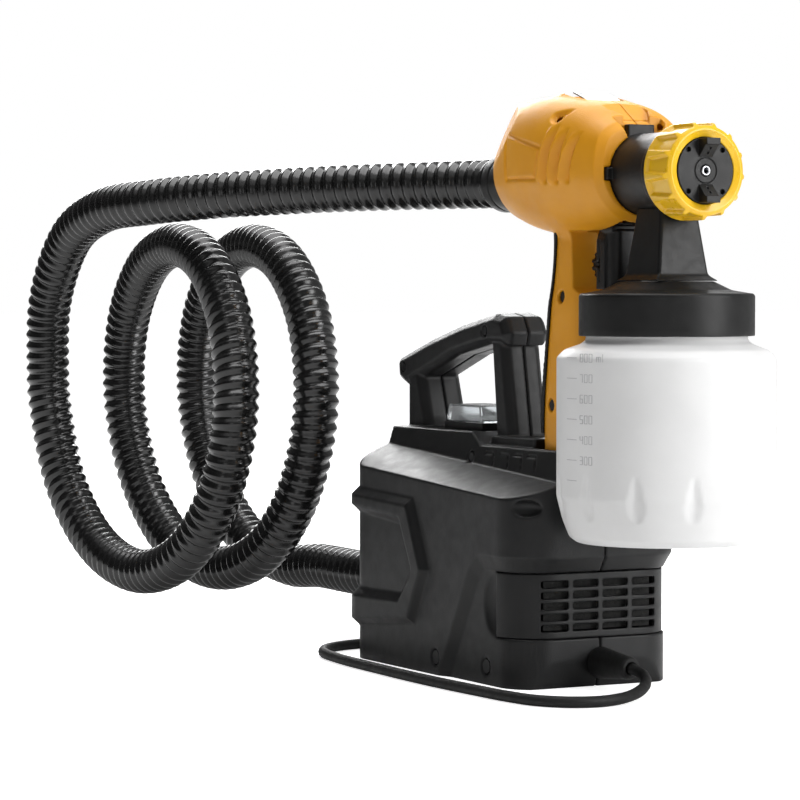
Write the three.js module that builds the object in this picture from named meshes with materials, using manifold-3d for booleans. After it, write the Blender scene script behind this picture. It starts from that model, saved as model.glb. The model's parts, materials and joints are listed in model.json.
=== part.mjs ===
// Turbine paint sprayer: a base unit with a carry handle, a ribbed air hose and a docked spray gun.
// Millimetres, +X towards the nozzle, +Y to the gun's left, +Z up, standing on z = 0.
import * as THREE from 'three';
import * as BufferGeometryUtils from 'three/addons/utils/BufferGeometryUtils.js';
import Module from 'manifold-3d';

const wasm = await Module();
wasm.setup();

// ---------- driving dimensions ----------
const CENTRE_SHIFT = -1.75; // moves the design's X so that the origin is the middle of the sprayer's box
const GAP = 0.3; // between pieces that touch
const WALL = 3; // casing wall

const BASE = { front: 50, rear: -146, half: 53, lowFront: 45, lowHalf: 50, ledge: 78 };
const PLATFORM = { half: 24, rearZ: 133, frontZ: 126, rampStart: -56, rampEnd: -43 };
const VENT = { bottom: 26.6, top: 61.8, rear: 20, columns: 4, rows: 5, pitchY: 18.4, pitchZ: 5.85 };
const ROTOR_Z = 44; // height of the motor's axis
const PORT_Z = 40; // height of the hose port
const RAKE = 0.14; // forward lean of the gun's handle and of its dock

const NOZZLE_Z = 271.5; // height of the gun's nozzle axis
const GUN_REAR = -36;
const GUN_FRONT = 88;
const BARREL_RADIUS = 21;
const CUP = { x: 109, radius: 56.5, bottom: 82, shoulder: 181, neckRadius: 41.5, rim: 204, wall: 1.8 };
const LID = { radius: 45.15, bottom: 188, top: 210 };
const RING = { rear: 124, front: 144, radius: 23.5, lip: 17, notches: 13 };
const TRIGGER_PIVOT = { x: 62, z: 289 };
const WHEEL = { x: 52, z: 225, radius: 7 };

const HOSE = { radius: 14, bore: 12.5, pitch: 52.7, turns: 2.25, startY: -4 };
const LOOP = { x: -323, z: 139, halfWidth: 115, halfHeight: 101 }; // the hose's loops, seen from the side
const CORD = { radius: 3, exitZ: 13 };
const COIL = { x: -150, y: 100, mid: 33, halfWidth: 6, height: 18 };

// ---------- materials ----------
const plastic = (color, roughness = 0.6) => new THREE.MeshStandardMaterial({ color, roughness, metalness: 0 });
const metal = (color, roughness = 0.35) => new THREE.MeshStandardMaterial({ color, roughness, metalness: 1 });
const BLACK = plastic(0x151515, 0.55);
const GREY = plastic(0x2b2b2c, 0.6);
const YELLOW = plastic(0xd08a12, 0.45);
const RING_YELLOW = plastic(0xe0a818, 0.35);
const RUBBER = plastic(0x0d0d0d, 0.8);
const HOSE_BLACK = plastic(0x101010, 0.3);
const CUP_WHITE = plastic(0xe6e6e6, 0.4);
const CLEAR = new THREE.MeshStandardMaterial({ color: 0xdfe6ea, roughness: 0.1, transparent: true, opacity: 0.4 });
const FOAM = plastic(0x3a3a38, 0.95);
const BOARD = plastic(0x1d5a34, 0.6);
const STEEL = metal(0xb4b6ba);
const BRASS = metal(0xb8923e);
const SILVER = metal(0xc9ccd0, 0.3);

// ---------- solids ----------
const identity = new THREE.Matrix4();
const alongY = new THREE.Matrix4().makeRotationX(Math.PI / 2); // extrusions in XZ, running towards -Y
const alongX = new THREE.Matrix4().set(0, 0, 1, 0, 1, 0, 0, 0, 0, 1, 0, 0, 0, 0, 0, 1); // (y, z) drawn, X along

function solid(geometry, matrix = identity) {
  const plain = geometry.clone();
  plain.deleteAttribute('normal');
  plain.deleteAttribute('uv');
  plain.applyMatrix4(matrix);
  const merged = BufferGeometryUtils.mergeVertices(plain, 1e-4);
  const index = merged.index.array;
  const triVerts = [];
  for (let i = 0; i < index.length; i += 3) {
    const [a, b, c] = [index[i], index[i + 1], index[i + 2]];
    if (a !== b && b !== c && a !== c) triVerts.push(a, b, c);
  }
  const mesh = { numProp: 3, vertProperties: merged.attributes.position.array, triVerts: new Uint32Array(triVerts) };
  return new wasm.Manifold(new wasm.Mesh(mesh));
}

function node(name, shape, material) {
  const out = shape.getMesh();
  const geometry = new THREE.BufferGeometry();
  geometry.setAttribute('position', new THREE.BufferAttribute(new Float32Array(out.vertProperties), 3));
  geometry.setIndex(new THREE.BufferAttribute(new Uint32Array(out.triVerts), 1));
  geometry.computeVertexNormals();
  const mesh = new THREE.Mesh(geometry, material);
  mesh.name = name;
  return mesh;
}

const union = (...parts) => parts.reduce((all, part) => all.add(part));
const cut = (body, ...tools) => tools.reduce((left, tool) => left.subtract(tool), body);
const outline = (points) => new THREE.Shape(points.map(([x, y]) => new THREE.Vector2(x, y)));
const place = (x, y, z) => new THREE.Matrix4().makeTranslation(x, y, z);

function box(x0, x1, y0, y1, z0, z1) {
  const geometry = new THREE.BoxGeometry(x1 - x0, y1 - y0, z1 - z0);
  return solid(geometry, place((x0 + x1) / 2, (y0 + y1) / 2, (z0 + z1) / 2));
}

// A profile drawn in XZ and run across Y, centred on y, with chamfered edges if bevel > 0.
function plate(points, half, bevel = 0, y = 0) {
  const geometry = new THREE.ExtrudeGeometry(outline(points), {
    depth: 2 * (half - bevel), bevelEnabled: bevel > 0, bevelThickness: bevel, bevelSize: bevel,
    bevelOffset: -bevel, bevelSegments: 1, curveSegments: 8,
  });
  geometry.translate(0, 0, -(half - bevel));
  return solid(geometry, place(0, y, 0).multiply(alongY));
}

// A plan drawn in XY and run up from z0 to z1.
function column(shape, z0, z1, curveSegments = 6) {
  const geometry = new THREE.ExtrudeGeometry(shape, { depth: z1 - z0, bevelEnabled: false, curveSegments });
  return solid(geometry, place(0, 0, z0));
}

function roundedPlan(x0, x1, half, rearRadius, frontRadius) {
  const shape = new THREE.Shape();
  shape.moveTo(x0 + rearRadius, -half);
  shape.lineTo(x1 - frontRadius, -half);
  shape.absarc(x1 - frontRadius, -half + frontRadius, frontRadius, -Math.PI / 2, 0);
  shape.absarc(x1 - frontRadius, half - frontRadius, frontRadius, 0, Math.PI / 2);
  shape.absarc(x0 + rearRadius, half - rearRadius, rearRadius, Math.PI / 2, Math.PI);
  shape.absarc(x0 + rearRadius, -half + rearRadius, rearRadius, Math.PI, 1.5 * Math.PI);
  return shape;
}

// Closed loft through rings of equal length, given in order along its run.
function loft(rings) {
  const count = rings[0].length;
  const positions = rings.flat(2);
  const index = [];
  for (let i = 0; i + 1 < rings.length; i++) {
    for (let j = 0; j < count; j++) {
      const [a, b] = [i * count + j, i * count + ((j + 1) % count)];
      index.push(a, b, b + count, a, b + count, a + count);
    }
  }
  const flat = (ring) => {
    const spans = [0, 1, 2].map((k) => Math.max(...ring.map((p) => p[k])) - Math.min(...ring.map((p) => p[k])));
    const drop = spans.indexOf(Math.min(...spans));
    return ring.map((p) => new THREE.Vector2(...p.filter((_, k) => k !== drop)));
  };
  const last = (rings.length - 1) * count;
  const caps = THREE.ShapeUtils.triangulateShape(flat(rings[0]), []);
  const follows = (p, q) => q === (p + 1) % count;
  const forward = caps.some(([a, b, c]) => follows(a, b) || follows(b, c) || follows(c, a));
  for (const [a, b, c] of caps) {
    if (forward) index.push(a, c, b, last + a, last + b, last + c);
    else index.push(a, b, c, last + a, last + c, last + b);
  }
  const geometry = new THREE.BufferGeometry();
  geometry.setAttribute('position', new THREE.Float32BufferAttribute(positions, 3));
  geometry.setIndex(index);
  const shape = solid(geometry);
  return shape.volume() > 0 ? shape : solid(flipped(geometry));
}

function flipped(geometry) {
  const index = geometry.index.array;
  for (let i = 0; i < index.length; i += 3) [index[i + 1], index[i + 2]] = [index[i + 2], index[i + 1]];
  return geometry;
}

// A turned piece: profile of [radius, height] points, standing on the Z axis.
function turned(profile, segments = 32, matrix = identity) {
  const closed = profile.map(([r, h]) => new THREE.Vector2(r, h));
  if (profile[0][0] > 0) closed.push(closed[0].clone());
  const geometry = new THREE.LatheGeometry(closed, segments);
  geometry.rotateX(Math.PI / 2);
  const shape = solid(geometry, matrix);
  return shape.volume() > 0 ? shape : solid(flippedCopy(geometry), matrix);
}

function flippedCopy(geometry) {
  const copy = geometry.clone();
  return flipped(copy);
}

// The same, with its heights running along X about an axis at (y, z).
function turnedX(profile, z, segments = 32, y = 0) {
  return turned(profile, segments, place(0, y, z).multiply(alongX));
}

const ring = (inner, outer, h0, h1) => [[inner, h0], [outer, h0], [outer, h1], [inner, h1]];
const disc = (radius, h0, h1) => [[0, h0], [radius, h0], [radius, h1], [0, h1]];
const pinY = (x, z, radius, y0, y1, segments = 16) =>
  turned(disc(radius, -y1, -y0), segments, place(x, 0, z).multiply(new THREE.Matrix4().makeRotationX(Math.PI / 2)));

function tubeAlong(points, section, steps, hole = null) {
  const path = new THREE.CatmullRomCurve3(points.map((p) => new THREE.Vector3(...p)), false, 'centripetal');
  const shape = new THREE.Shape(section);
  if (hole) shape.holes.push(new THREE.Path(hole));
  return solid(new THREE.ExtrudeGeometry(shape, { steps, extrudePath: path, curveSegments: 1 }));
}

function circlePoints(radius, sides) {
  return Array.from({ length: sides }, (_, i) => {
    const angle = (2 * Math.PI * i) / sides;
    return new THREE.Vector2(radius * Math.cos(angle), radius * Math.sin(angle));
  });
}

// The right half lies at y < 0 and the left half at y > 0, with the joint's gap between them.
function halves(body) {
  const far = 400;
  return {
    right: body.intersect(box(-far, far, -far, -GAP / 2, -far, far)),
    left: body.intersect(box(-far, far, GAP / 2, far, -far, far)),
  };
}

const group = new THREE.Group();
const add = (name, shape, material) => group.add(node(name, shape, material));

// ---------- base casing ----------
const lerp = (a, b, t) => a + (b - a) * t;

// Roof of the casing: side walls, sloping shoulders and a platform that steps down towards the front.
function roofed(inset) {
  const section = (x) => {
    const t = (x - BASE.rear) / (BASE.front - BASE.rear);
    const wallTop = lerp(112, 100, t) - inset;
    const shoulderTop = lerp(123, 109.5, t) - inset;
    const ramp = THREE.MathUtils.clamp((x - PLATFORM.rampStart) / (PLATFORM.rampEnd - PLATFORM.rampStart), 0, 1);
    const top = lerp(PLATFORM.rearZ, PLATFORM.frontZ, ramp) - inset;
    const [outer, middle, inner] = [BASE.half + 10, PLATFORM.half + 3 - inset, PLATFORM.half - inset];
    return [[x, -outer, -10], [x, outer, -10], [x, outer, wallTop - 4], [x, BASE.half, wallTop],
      [x, middle, shoulderTop], [x, inner, top], [x, -inner, top], [x, -middle, shoulderTop],
      [x, -BASE.half, wallTop], [x, -outer, wallTop - 4]];
  };
  return loft([BASE.rear - 5, PLATFORM.rampStart, PLATFORM.rampEnd, BASE.front + 5].map(section));
}

// The low front of the casing stands back from the rest, behind a slanted step and under a ledge.
function lowFrontCutter() {
  const profile = (y, atRear, z) => [[atRear - 40, y, -1], [atRear, y, z], [BASE.lowFront, y, z - 1],
    [BASE.front + 0.5, y, BASE.ledge], [BASE.front + 9, y, BASE.ledge], [BASE.front + 9, y, -1]];
  const outer = BASE.half + 0.5;
  const [side, corner] = [-11, 0]; // where the slanted step starts on the side walls and at the low front
  return loft([profile(-outer, side, 71), profile(-BASE.lowHalf, corner, 64), profile(BASE.lowHalf, corner, 64),
    profile(outer, side, 71)]);
}

// Raised hooked rib at each rear corner.
function cornerRib(side) {
  const points = [[-152, 84], [-152, 92], [-140, 98], [-68, 95], [-50, 57], [-66, 27], [-140, 20], [-152, 28],
    [-152, 37], [-138, 40], [-80, 41], [-67, 57], [-80, 82], [-138, 86]];
  const rib = plate(points, 10, 2.5, side * 49);
  const wrap = column(roundedPlan(BASE.rear - 3, BASE.front, BASE.half + 3, 20, 25), 0, 110);
  return rib.intersect(wrap);
}

function carryHandle() {
  const grip = plate([[-160, 160], [-161, 172], [-122, 183.5], [-84, 192.5], [-47, 199], [-36, 197], [-31, 188],
    [-33, 181], [-54, 181.5], [-92, 175], [-128, 163], [-150, 156]], 14.5, 4);
  const rearLeg = plate([[-149, 120], [-149, 166], [-133, 166], [-124, 140], [-120, 120]], 14, 4);
  const frontLeg = plate([[-46, 112], [-54, 186], [-38, 186], [-25, 112]], 12.5, 4);
  return union(grip, rearLeg, frontLeg);
}

const leaned = (x, z) => x + RAKE * (z - 131);

function dockSolid(x0, x1, half, z0, z1) {
  const level = (z) => [[leaned(x0, z), -half, z], [leaned(x1, z), -half, z], [leaned(x1, z), half, z],
    [leaned(x0, z), half, z]];
  return loft([level(z0), level(z1)]);
}

const SCREW_SPOTS = [[-42, 10, -BASE.half, 4.5], [9, 10, -BASE.lowHalf, 4.5], [-56, 189, -14.5, 3.2],
  [-152, 167, -14.5, 3.2], [-50, 119, -26, 3.4]];

function baseCasing() {
  const plan = column(roundedPlan(BASE.rear, BASE.front, BASE.half, 18, 25), 0, 140);
  const lowPlan = column(roundedPlan(BASE.rear + 10, BASE.lowFront, BASE.lowHalf, 18, 25), 0, 75);
  const hull = union(cut(plan.intersect(roofed(0)), lowFrontCutter()), lowPlan, cornerRib(1), cornerRib(-1));
  const inner = column(roundedPlan(BASE.rear + WALL, BASE.lowFront - WALL, BASE.lowHalf - WALL, 16, 22), WALL, 140);
  const plinth = plate([[-47, 120], [-44, 131], [46, 131], [49, 120]], 16.5, 1.5)
    .intersect(box(-60, BASE.front, -20, 20, 100, 140));
  let casing = cut(hull, inner.intersect(roofed(WALL)));
  casing = union(casing, plinth, carryHandle(), dockSolid(1.5, 49.5, 21, 92, 126));
  casing = cut(casing, dockSolid(4.5, 46.5, 18, 96, 140));
  casing = casing.intersect(box(-200, BASE.front, -60, 60, 0, 220));
  casing = cut(casing, plate([[30, -1], [46, 14.5], [60, 14.5], [60, -1]], 70));
  casing = cut(casing, ventSeat(), box(-100, -60, -10, 10, 120, 140), intakeWindow());
  casing = cut(casing, turnedX(disc(15, BASE.rear - 10, BASE.rear + 12), PORT_Z), turnedX(disc(6, 30, 60), CORD.exitZ, 20));
  for (const [x, z, y, radius] of SCREW_SPOTS) casing = cut(casing, pinY(x, z, radius, y - 5, y + 2.5, 12));
  return cut(casing, pinY(36, 97, 6.5, -60, -44, 14));
}

function ventSeat() {
  const outer = column(roundedPlan(-200, BASE.lowFront + 20, BASE.lowHalf + 20, 5, 25), VENT.bottom, VENT.top);
  const inner = column(roundedPlan(-220, BASE.lowFront - 2.4, BASE.lowHalf - 2.4, 5, 22.6), VENT.bottom - 1, VENT.top + 1);
  return cut(outer, inner).intersect(box(VENT.rear, 80, -80, 80, 0, 100));
}

const intakeWindow = () => box(BASE.lowFront - 8, BASE.lowFront, -36, 36, VENT.bottom + 4, VENT.top - 4);

const casing = halves(baseCasing());
add('base_shell_right', casing.right, GREY);
add('base_shell_left', casing.left, GREY);

// ---------- intake cover and filter ----------
function ventCover() {
  const outer = column(roundedPlan(-200, BASE.lowFront, BASE.lowHalf, 5, 25), VENT.bottom + GAP, VENT.top - GAP);
  const inner = column(roundedPlan(-220, BASE.lowFront - 2.1, BASE.lowHalf - 2.1, 5, 22.9), 0, 100);
  let cover = cut(outer, inner).intersect(box(VENT.rear + GAP, 80, -80, 80, 0, 100));
  const middleZ = (VENT.bottom + VENT.top) / 2;
  for (let column = 0; column < VENT.columns; column++) {
    for (let row = 0; row < VENT.rows; row++) {
      const y = (column - (VENT.columns - 1) / 2) * VENT.pitchY;
      const z = middleZ + (row - (VENT.rows - 1) / 2) * VENT.pitchZ;
      cover = cut(cover, box(BASE.lowFront - 12, 60, y - 7.85, y + 7.85, z - 1.85, z + 1.85));
    }
  }
  return cover;
}
add('vent_cover', ventCover(), GREY);
add('filter_foam', box(34, BASE.lowFront - 4, -33, 33, VENT.bottom + 4.5, VENT.top - 4.5), FOAM);

// ---------- casing screws ----------
const headScrew = (x, z, y, radius) =>
  union(pinY(x, z, radius - 0.6, y + 0.4, y + 2.2, 12), pinY(x, z, 1.4, y + 2, y + 2.3, 8));
SCREW_SPOTS.forEach(([x, z, y, radius], i) => add(`base_screw_${i + 1}`, headScrew(x, z, y, radius), STEEL));

// ---------- switch ----------
const SWITCH = { x0: -104, x1: -60, half: 13 };
const platformTop = PLATFORM.rearZ;
const bezel = cut(union(box(SWITCH.x0, SWITCH.x1, -SWITCH.half, SWITCH.half, platformTop + GAP, platformTop + 4),
  box(-99.5, -60.5, -9.6, 9.6, platformTop - 4, platformTop + 1)), box(-97, -67, -8, 8, 120, 150));
add('switch_bezel', bezel, BLACK);
const rocker = plate([[-95.4, 131], [-95.4, 141], [-82, 137.5], [-68.6, 137.5], [-68.6, 131], [-82, 129]], 7.6, 0.8);
add('switch_rocker', rocker, BLACK);
const bootOuter = [[-103.5, platformTop + 4.3], [-100, 147], [-64, 147], [-60.5, platformTop + 4.3]];
const bootInner = [[-99, 130], [-97.5, 145.8], [-66.5, 145.8], [-65, 130]];
add('switch_boot', cut(plate(bootOuter, 12.5, 1), plate(bootInner, 10)), CLEAR);

// ---------- motor and turbine ----------
const housing = turnedX([[39, -8], [12, -8], [12, -10.5], [38, -10.5], [38, -42], [36, -100], [13, -128], [13, -132],
  [15.5, -132], [15.5, -129], [39, -100], [41, -42], [41, -8]].map(([r, x]) => [r, x - 6]), ROTOR_Z, 20);
add('turbine_housing', housing, GREY);
add('motor_can', turnedX([[4.6, -50], [24, -50], [24, -108], [8.8, -108], [8.8, -105.5], [21.5, -105.5], [21.5, -52.5],
  [8.8, -52.5], [8.8, -51.5], [4.6, -51.5]], ROTOR_Z, 18), STEEL);
const spiderArms = [0, 1, 2].map((i) => {
  const arm = new THREE.Matrix4().makeRotationX((2 * Math.PI * i) / 3 + Math.PI / 6);
  return solid(new THREE.BoxGeometry(6, 6, 10), place(-76, 0, ROTOR_Z).multiply(arm).multiply(place(0, 0, 30.5)));
});
add('motor_spider', union(turnedX(ring(24.3, 28, -79, -73), ROTOR_Z, 24), ...spiderArms), BLACK);
add('armature', turnedX(ring(4.2, 17, -98, -60), ROTOR_Z, 20), STEEL);
add('rotor_shaft', turnedX(disc(3.9, -112, -18), ROTOR_Z, 16), STEEL);
add('bearing_rear', turnedX(ring(4.2, 8.5, -107.7, -101), ROTOR_Z, 16), STEEL);
add('bearing_front', turnedX(ring(4.2, 8.5, -59, -54), ROTOR_Z, 16), STEEL);
add('impeller', turnedX([[4.2, -38], [34, -38], [34, -36], [12, -34], [12, -32], [30, -24], [34, -24], [34, -22],
  [10, -22], [8, -28], [4.2, -28]], ROTOR_Z, 18), plastic(0xd8d6cc, 0.5));
add('circuit_board', box(-120, -70, -38, 34, 100, 101.6), BOARD);

// ---------- hose port and cuffs ----------
add('hose_port', turnedX([[12, -138.4], [14.6, -138.4], [14.6, BASE.rear - GAP], [20, BASE.rear - GAP], [20, BASE.rear - 2.5],
  [14, BASE.rear - 2.5], [14, BASE.rear - 16], [12, BASE.rear - 16]], PORT_Z, 28), BLACK);
add('hose_cuff_base', turnedX(ring(14.4, 17, BASE.rear - 26, BASE.rear - 2.8), PORT_Z, 24), BLACK);

// ---------- power cord entry ----------
const relief = turnedX([[3.3, 34], [8.5, 34], [8.5, 41.6], [5.6, 41.6], [5.3, 50], [4.7, 76], [3.3, 76]],
  CORD.exitZ, 20);
add('strain_relief', relief, RUBBER);
const clamp = union(box(22, 30, -12, 12, WALL + GAP, 9), box(22, 30, -12, -7, 8, 17), box(22, 30, 7, 12, 8, 17));
add('cord_clamp', clamp, BLACK);

// ---------- gun casing ----------
// Stations along X: half width, lowest and highest point of the casing's section.
const GUN_STATIONS = [[GUN_REAR, 15, 256, 287], [-34, 21, 250, 295], [-28, 27.5, 246, 303], [-16, 33.5, 242.5, 311],
  [2, 37, 240, 315.5], [25, 38.5, 239.5, 316], [48, 37.5, 240, 312.5], [70, 33.5, 243, 307], [86, 29, 246.5, 299.5],
  [96, 27.5, 248, 296]];

function gunSection([x, half, low, high], inset, count = 28) {
  const middle = (low + high) / 2;
  const power = 2 / 2.35; // between an ellipse and a box
  return Array.from({ length: count }, (_, i) => {
    const angle = (2 * Math.PI * i) / count;
    const [c, s] = [Math.cos(angle), Math.sin(angle)];
    const y = Math.sign(c) * Math.abs(c) ** power * (half - inset);
    return [x, y, middle + Math.sign(s) * Math.abs(s) ** power * ((high - low) / 2 - inset)];
  });
}

// Handle levels: lowest to highest, rear and front edge and half width.
const HANDLE_LEVELS = [[98, 0.4, 41, 15.5], [131, 5.5, 45, 16.5], [170, 12, 49, 17], [190, 15.5, 50, 17], [207, 18.5, 51, 17],
  [213, 19.5, 43, 16.5], [236, 24, 42, 16], [262, 24, 56, 16]];

function handleSection([z, rear, front, half], inset, count = 20) {
  const middle = (rear + front) / 2;
  const power = 2 / 3;
  return Array.from({ length: count }, (_, i) => {
    const angle = (2 * Math.PI * i) / count;
    const [c, s] = [Math.cos(angle), Math.sin(angle)];
    const x = middle + Math.sign(c) * Math.abs(c) ** power * ((front - rear) / 2 - inset);
    return [x, Math.sign(s) * Math.abs(s) ** power * (half - inset), z];
  });
}

// Plateau on top of the gun: it carries the badge on its front slope, the ramp, which runs down to the front notch.
const RAMP = { rear: 33, rearZ: 317, front: 71, frontZ: 304 };
const rampZ = (x) => lerp(RAMP.rearZ, RAMP.frontZ, (x - RAMP.rear) / (RAMP.front - RAMP.rear));

function gunHump() {
  const profile = plate([[-6, 300], [8, 318.4], [RAMP.rear - 2, 317.8], [RAMP.rear, RAMP.rearZ], [76, rampZ(76)],
    [76, 300]], 30);
  const across = (x, foot, top) => [[x, -foot, 300], [x, foot, 300], [x, top, 318.4], [x, -top, 318.4]];
  return profile.intersect(loft([across(-10, 29, 13), across(76, 17, 7)]));
}

// What is open above the ramp, and the notch in front of it that the barrel's key stands in.
const aboveRamp = (drop, half) => plate([[46, rampZ(46) - drop], [RAMP.front, RAMP.frontZ - drop], [79.7, 298.2 - drop],
  [79.7, 340], [46, 340]], half);
const frontNotch = () => box(79.7, 130, -10, 10, 286, 340);

function gunRoom() {
  const room = loft(GUN_STATIONS.slice(1).map((station) => gunSection(station, 2.6)));
  return cut(room, aboveRamp(2.6, 16), box(GUN_FRONT - 4, 200, -60, 60, 200, 340), box(77, 200, -13, 13, 282, 340));
}

function gunCasing() {
  const body = loft(GUN_STATIONS.map((station) => gunSection(station, 0)));
  const handle = loft(HANDLE_LEVELS.map((level) => handleSection(level, 0)));
  const handleRoom = loft(HANDLE_LEVELS.slice(1).map((level) => handleSection(level, 3)));
  const beyondFront = box(GUN_FRONT, 200, -60, 60, 200, 340);
  let shell = cut(union(body, handle, gunHump()), gunRoom(), handleRoom, beyondFront, aboveRamp(0, 12), frontNotch());
  shell = cut(shell, turnedX(disc(15, GUN_REAR - 5, GUN_REAR + 12), NOZZLE_Z, 28));
  shell = cut(shell, turnedX(disc(BARREL_RADIUS + 0.4, 76, 120), NOZZLE_Z, 32), barrelKeys(0.5));
  shell = cut(shell, box(47, 84, -10, 10, 230, 250), badgeSlab(0.9, 11.1, 4));
  for (const [x, z] of GUN_SCREWS) shell = cut(shell, pinY(x, z, 4, -50, -13.4, 12));
  const bosses = union(pinY(TRIGGER_PIVOT.x, TRIGGER_PIVOT.z, 4.5, 9.5, 37.3, 12),
    pinY(TRIGGER_PIVOT.x, TRIGGER_PIVOT.z, 4.5, -37.3, -9.5, 12));
  shell = union(shell, bosses.intersect(body));
  return cut(shell, pinY(TRIGGER_PIVOT.x, TRIGGER_PIVOT.z, 2.3, -16, 16, 12));
}

// Slab on the ramp, from depth below it to height above it.
function badgeSlab(depth, half, height) {
  const [x0, x1] = [RAMP.rear + 0.3, RAMP.rear + 13.6];
  return plate([[x0, rampZ(x0) - depth], [x0, rampZ(x0) + height], [x1, rampZ(x1) + height], [x1, rampZ(x1) - depth]], half);
}

// Keys on top and at the sides of the barrel, which lock into notches of the casing.
const barrelKeys = (margin) => union(
  box(80.2, 84.5, -8, 8, NOZZLE_Z + 14, NOZZLE_Z + 26),
  box(GUN_FRONT - 5 - margin, GUN_FRONT + 2 + margin, -24.3 - margin, 24.3 + margin, NOZZLE_Z - 3 - margin,
    NOZZLE_Z + 3 + margin).subtract(box(70, 100, -19, 19, 200, 300)),
);

const GUN_SCREWS = [[33, 208], [22, 150]];
const gunShell = halves(gunCasing());
add('gun_shell_right', gunShell.right, YELLOW);
add('gun_shell_left', gunShell.left, YELLOW);
GUN_SCREWS.forEach(([x, z], i) => add(`gun_screw_${i + 1}`, pinY(x, z, 3, -16.4, -13.8, 12), STEEL));
add('top_badge', badgeSlab(0.6, 10.8, 0.3).intersect(box(RAMP.rear + 0.6, RAMP.rear + 13.3, -30, 30, 300, 318.4)), SILVER);

// Rubber strip that wraps the back of the handle.
function gripPad() {
  const levels = [[134, 6, 45.5, 16.5], [170, 12, 49, 17], [207, 18.5, 51, 17], [213, 19.5, 50, 16.5],
    [243, 24, 56, 16]];
  const outer = loft(levels.map(([z, rear, front, half]) => handleSection([z, rear - 3.4, front, half + 1.4], 0)));
  const inner = loft(levels.map(([z, rear, front, half]) =>
    handleSection([z + (z > 200 ? 6 : -6), rear, front, half], -GAP)));
  const strip = plate([[-20, 120], [leaned(12, 134), 134], [leaned(12, 250), 250], [-20, 260]], 40);
  const casingKeepOut = loft(GUN_STATIONS.map((station) => gunSection(station, -GAP)));
  return cut(outer.intersect(strip), inner, casingKeepOut, loft(HANDLE_LEVELS.map((level) => handleSection(level, -GAP))));
}
add('grip_pad', gripPad(), RUBBER);

add('hose_socket', turnedX([[12, GUN_REAR - 14], [14, GUN_REAR - 14], [14, GUN_REAR + 18], [18, GUN_REAR + 18],
  [18, GUN_REAR + 22], [12, GUN_REAR + 22]], NOZZLE_Z, 28), BLACK);
add('hose_cuff_gun', turnedX(ring(14.8, 16.5, GUN_REAR - 20, GUN_REAR - 0.6), NOZZLE_Z, 12), BLACK);

// ---------- barrel, feed tower and cup ----------
function barrel() {
  const outer = BARREL_RADIUS;
  const body = turnedX([[16, 79], [outer, 79], [outer, 123.6], [20, 123.6], [20, 137], [17.6, 137], [17.6, 112],
    [16, 112]], NOZZLE_Z, 36);
  const plug = turnedX(disc(18, 106, 110), NOZZLE_Z, 32);
  return cut(union(body, plug, barrelKeys(0)), turnedX(disc(6.3, 100, 120), NOZZLE_Z, 20), box(70, 105, -14, 14, 258, 285));
}
add('barrel', barrel(), BLACK);

function feedTower() {
  const level = (z, alongLength, half, x = CUP.x) =>
    [[x - alongLength, -half, z], [x + alongLength, -half, z], [x + alongLength, half, z], [x - alongLength, half, z]];
  const tower = loft([level(216.3, 17, 15), level(222, 15.5, 13.8), level(246, 12, 11), level(258, 11, 10)]);
  const barrelRoom = turnedX(disc(BARREL_RADIUS + 0.3, 79, 140), NOZZLE_Z, 36);
  const bore = turned(disc(4.4, 200, 262), 16, place(CUP.x, 0, 0));
  return cut(tower, barrelRoom, bore);
}
add('feed_tower', feedTower(), BLACK);

const aboutCup = place(CUP.x, 0, 0);
const lidProfile = [[5, LID.top - 3.2], [42.6, LID.top - 3.2], [42.6, LID.bottom], [LID.radius, LID.bottom],
  [LID.radius, LID.top - 2], [LID.radius - 1.6, LID.top], [22, 216], [5, 216]];
add('cup_lid', turned(lidProfile, 36, aboutCup), BLACK);
const cupProfile = [[0, CUP.bottom + 3], [44, CUP.bottom], [50, CUP.bottom + 2.5], [54, CUP.bottom + 12],
  [CUP.radius, CUP.bottom + 23], [CUP.radius, CUP.shoulder - 3], [CUP.radius - 2.5, CUP.shoulder],
  [CUP.neckRadius, CUP.shoulder + 4], [CUP.neckRadius, CUP.rim], [CUP.neckRadius - CUP.wall, CUP.rim],
  [CUP.neckRadius - CUP.wall, CUP.shoulder + 2.6], [CUP.radius - 3.6, CUP.shoulder - 1.8],
  [CUP.radius - CUP.wall, CUP.shoulder - 4], [CUP.radius - CUP.wall, CUP.bottom + 23.5],
  [52.4, CUP.bottom + 12.8], [48.8, CUP.bottom + 4.2], [0, CUP.bottom + 5]];
add('cup', turned(cupProfile, 36, aboutCup), CUP_WHITE);
add('cup_gasket', turned(ring(37, 42, CUP.rim + GAP, LID.top - 3.5), 24, aboutCup), RUBBER);
add('pickup_tube', turned(ring(2.8, 4.1, CUP.bottom + 9, 240), 16, aboutCup), CLEAR);

// ---------- nozzle end ----------
function ringNut() {
  let nut = turnedX([[20.4, RING.rear], [22.6, RING.rear], [RING.radius, RING.rear + 2], [RING.radius, RING.front - 4],
    [RING.radius - 3.5, RING.front], [RING.lip, RING.front], [RING.lip, RING.front - 2.4], [20.4, RING.front - 2.4]], NOZZLE_Z, 39);
  for (let i = 0; i < RING.notches; i++) {
    const turn = new THREE.Matrix4().makeRotationX((2 * Math.PI * i) / RING.notches);
    const at = place(RING.rear + 9, 0, NOZZLE_Z).multiply(turn).multiply(place(0, 0, RING.radius + 0.6));
    nut = cut(nut, solid(new THREE.BoxGeometry(11, 6, 3.4), at));
  }
  return nut;
}
add('ring_nut', ringNut(), RING_YELLOW);

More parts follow.
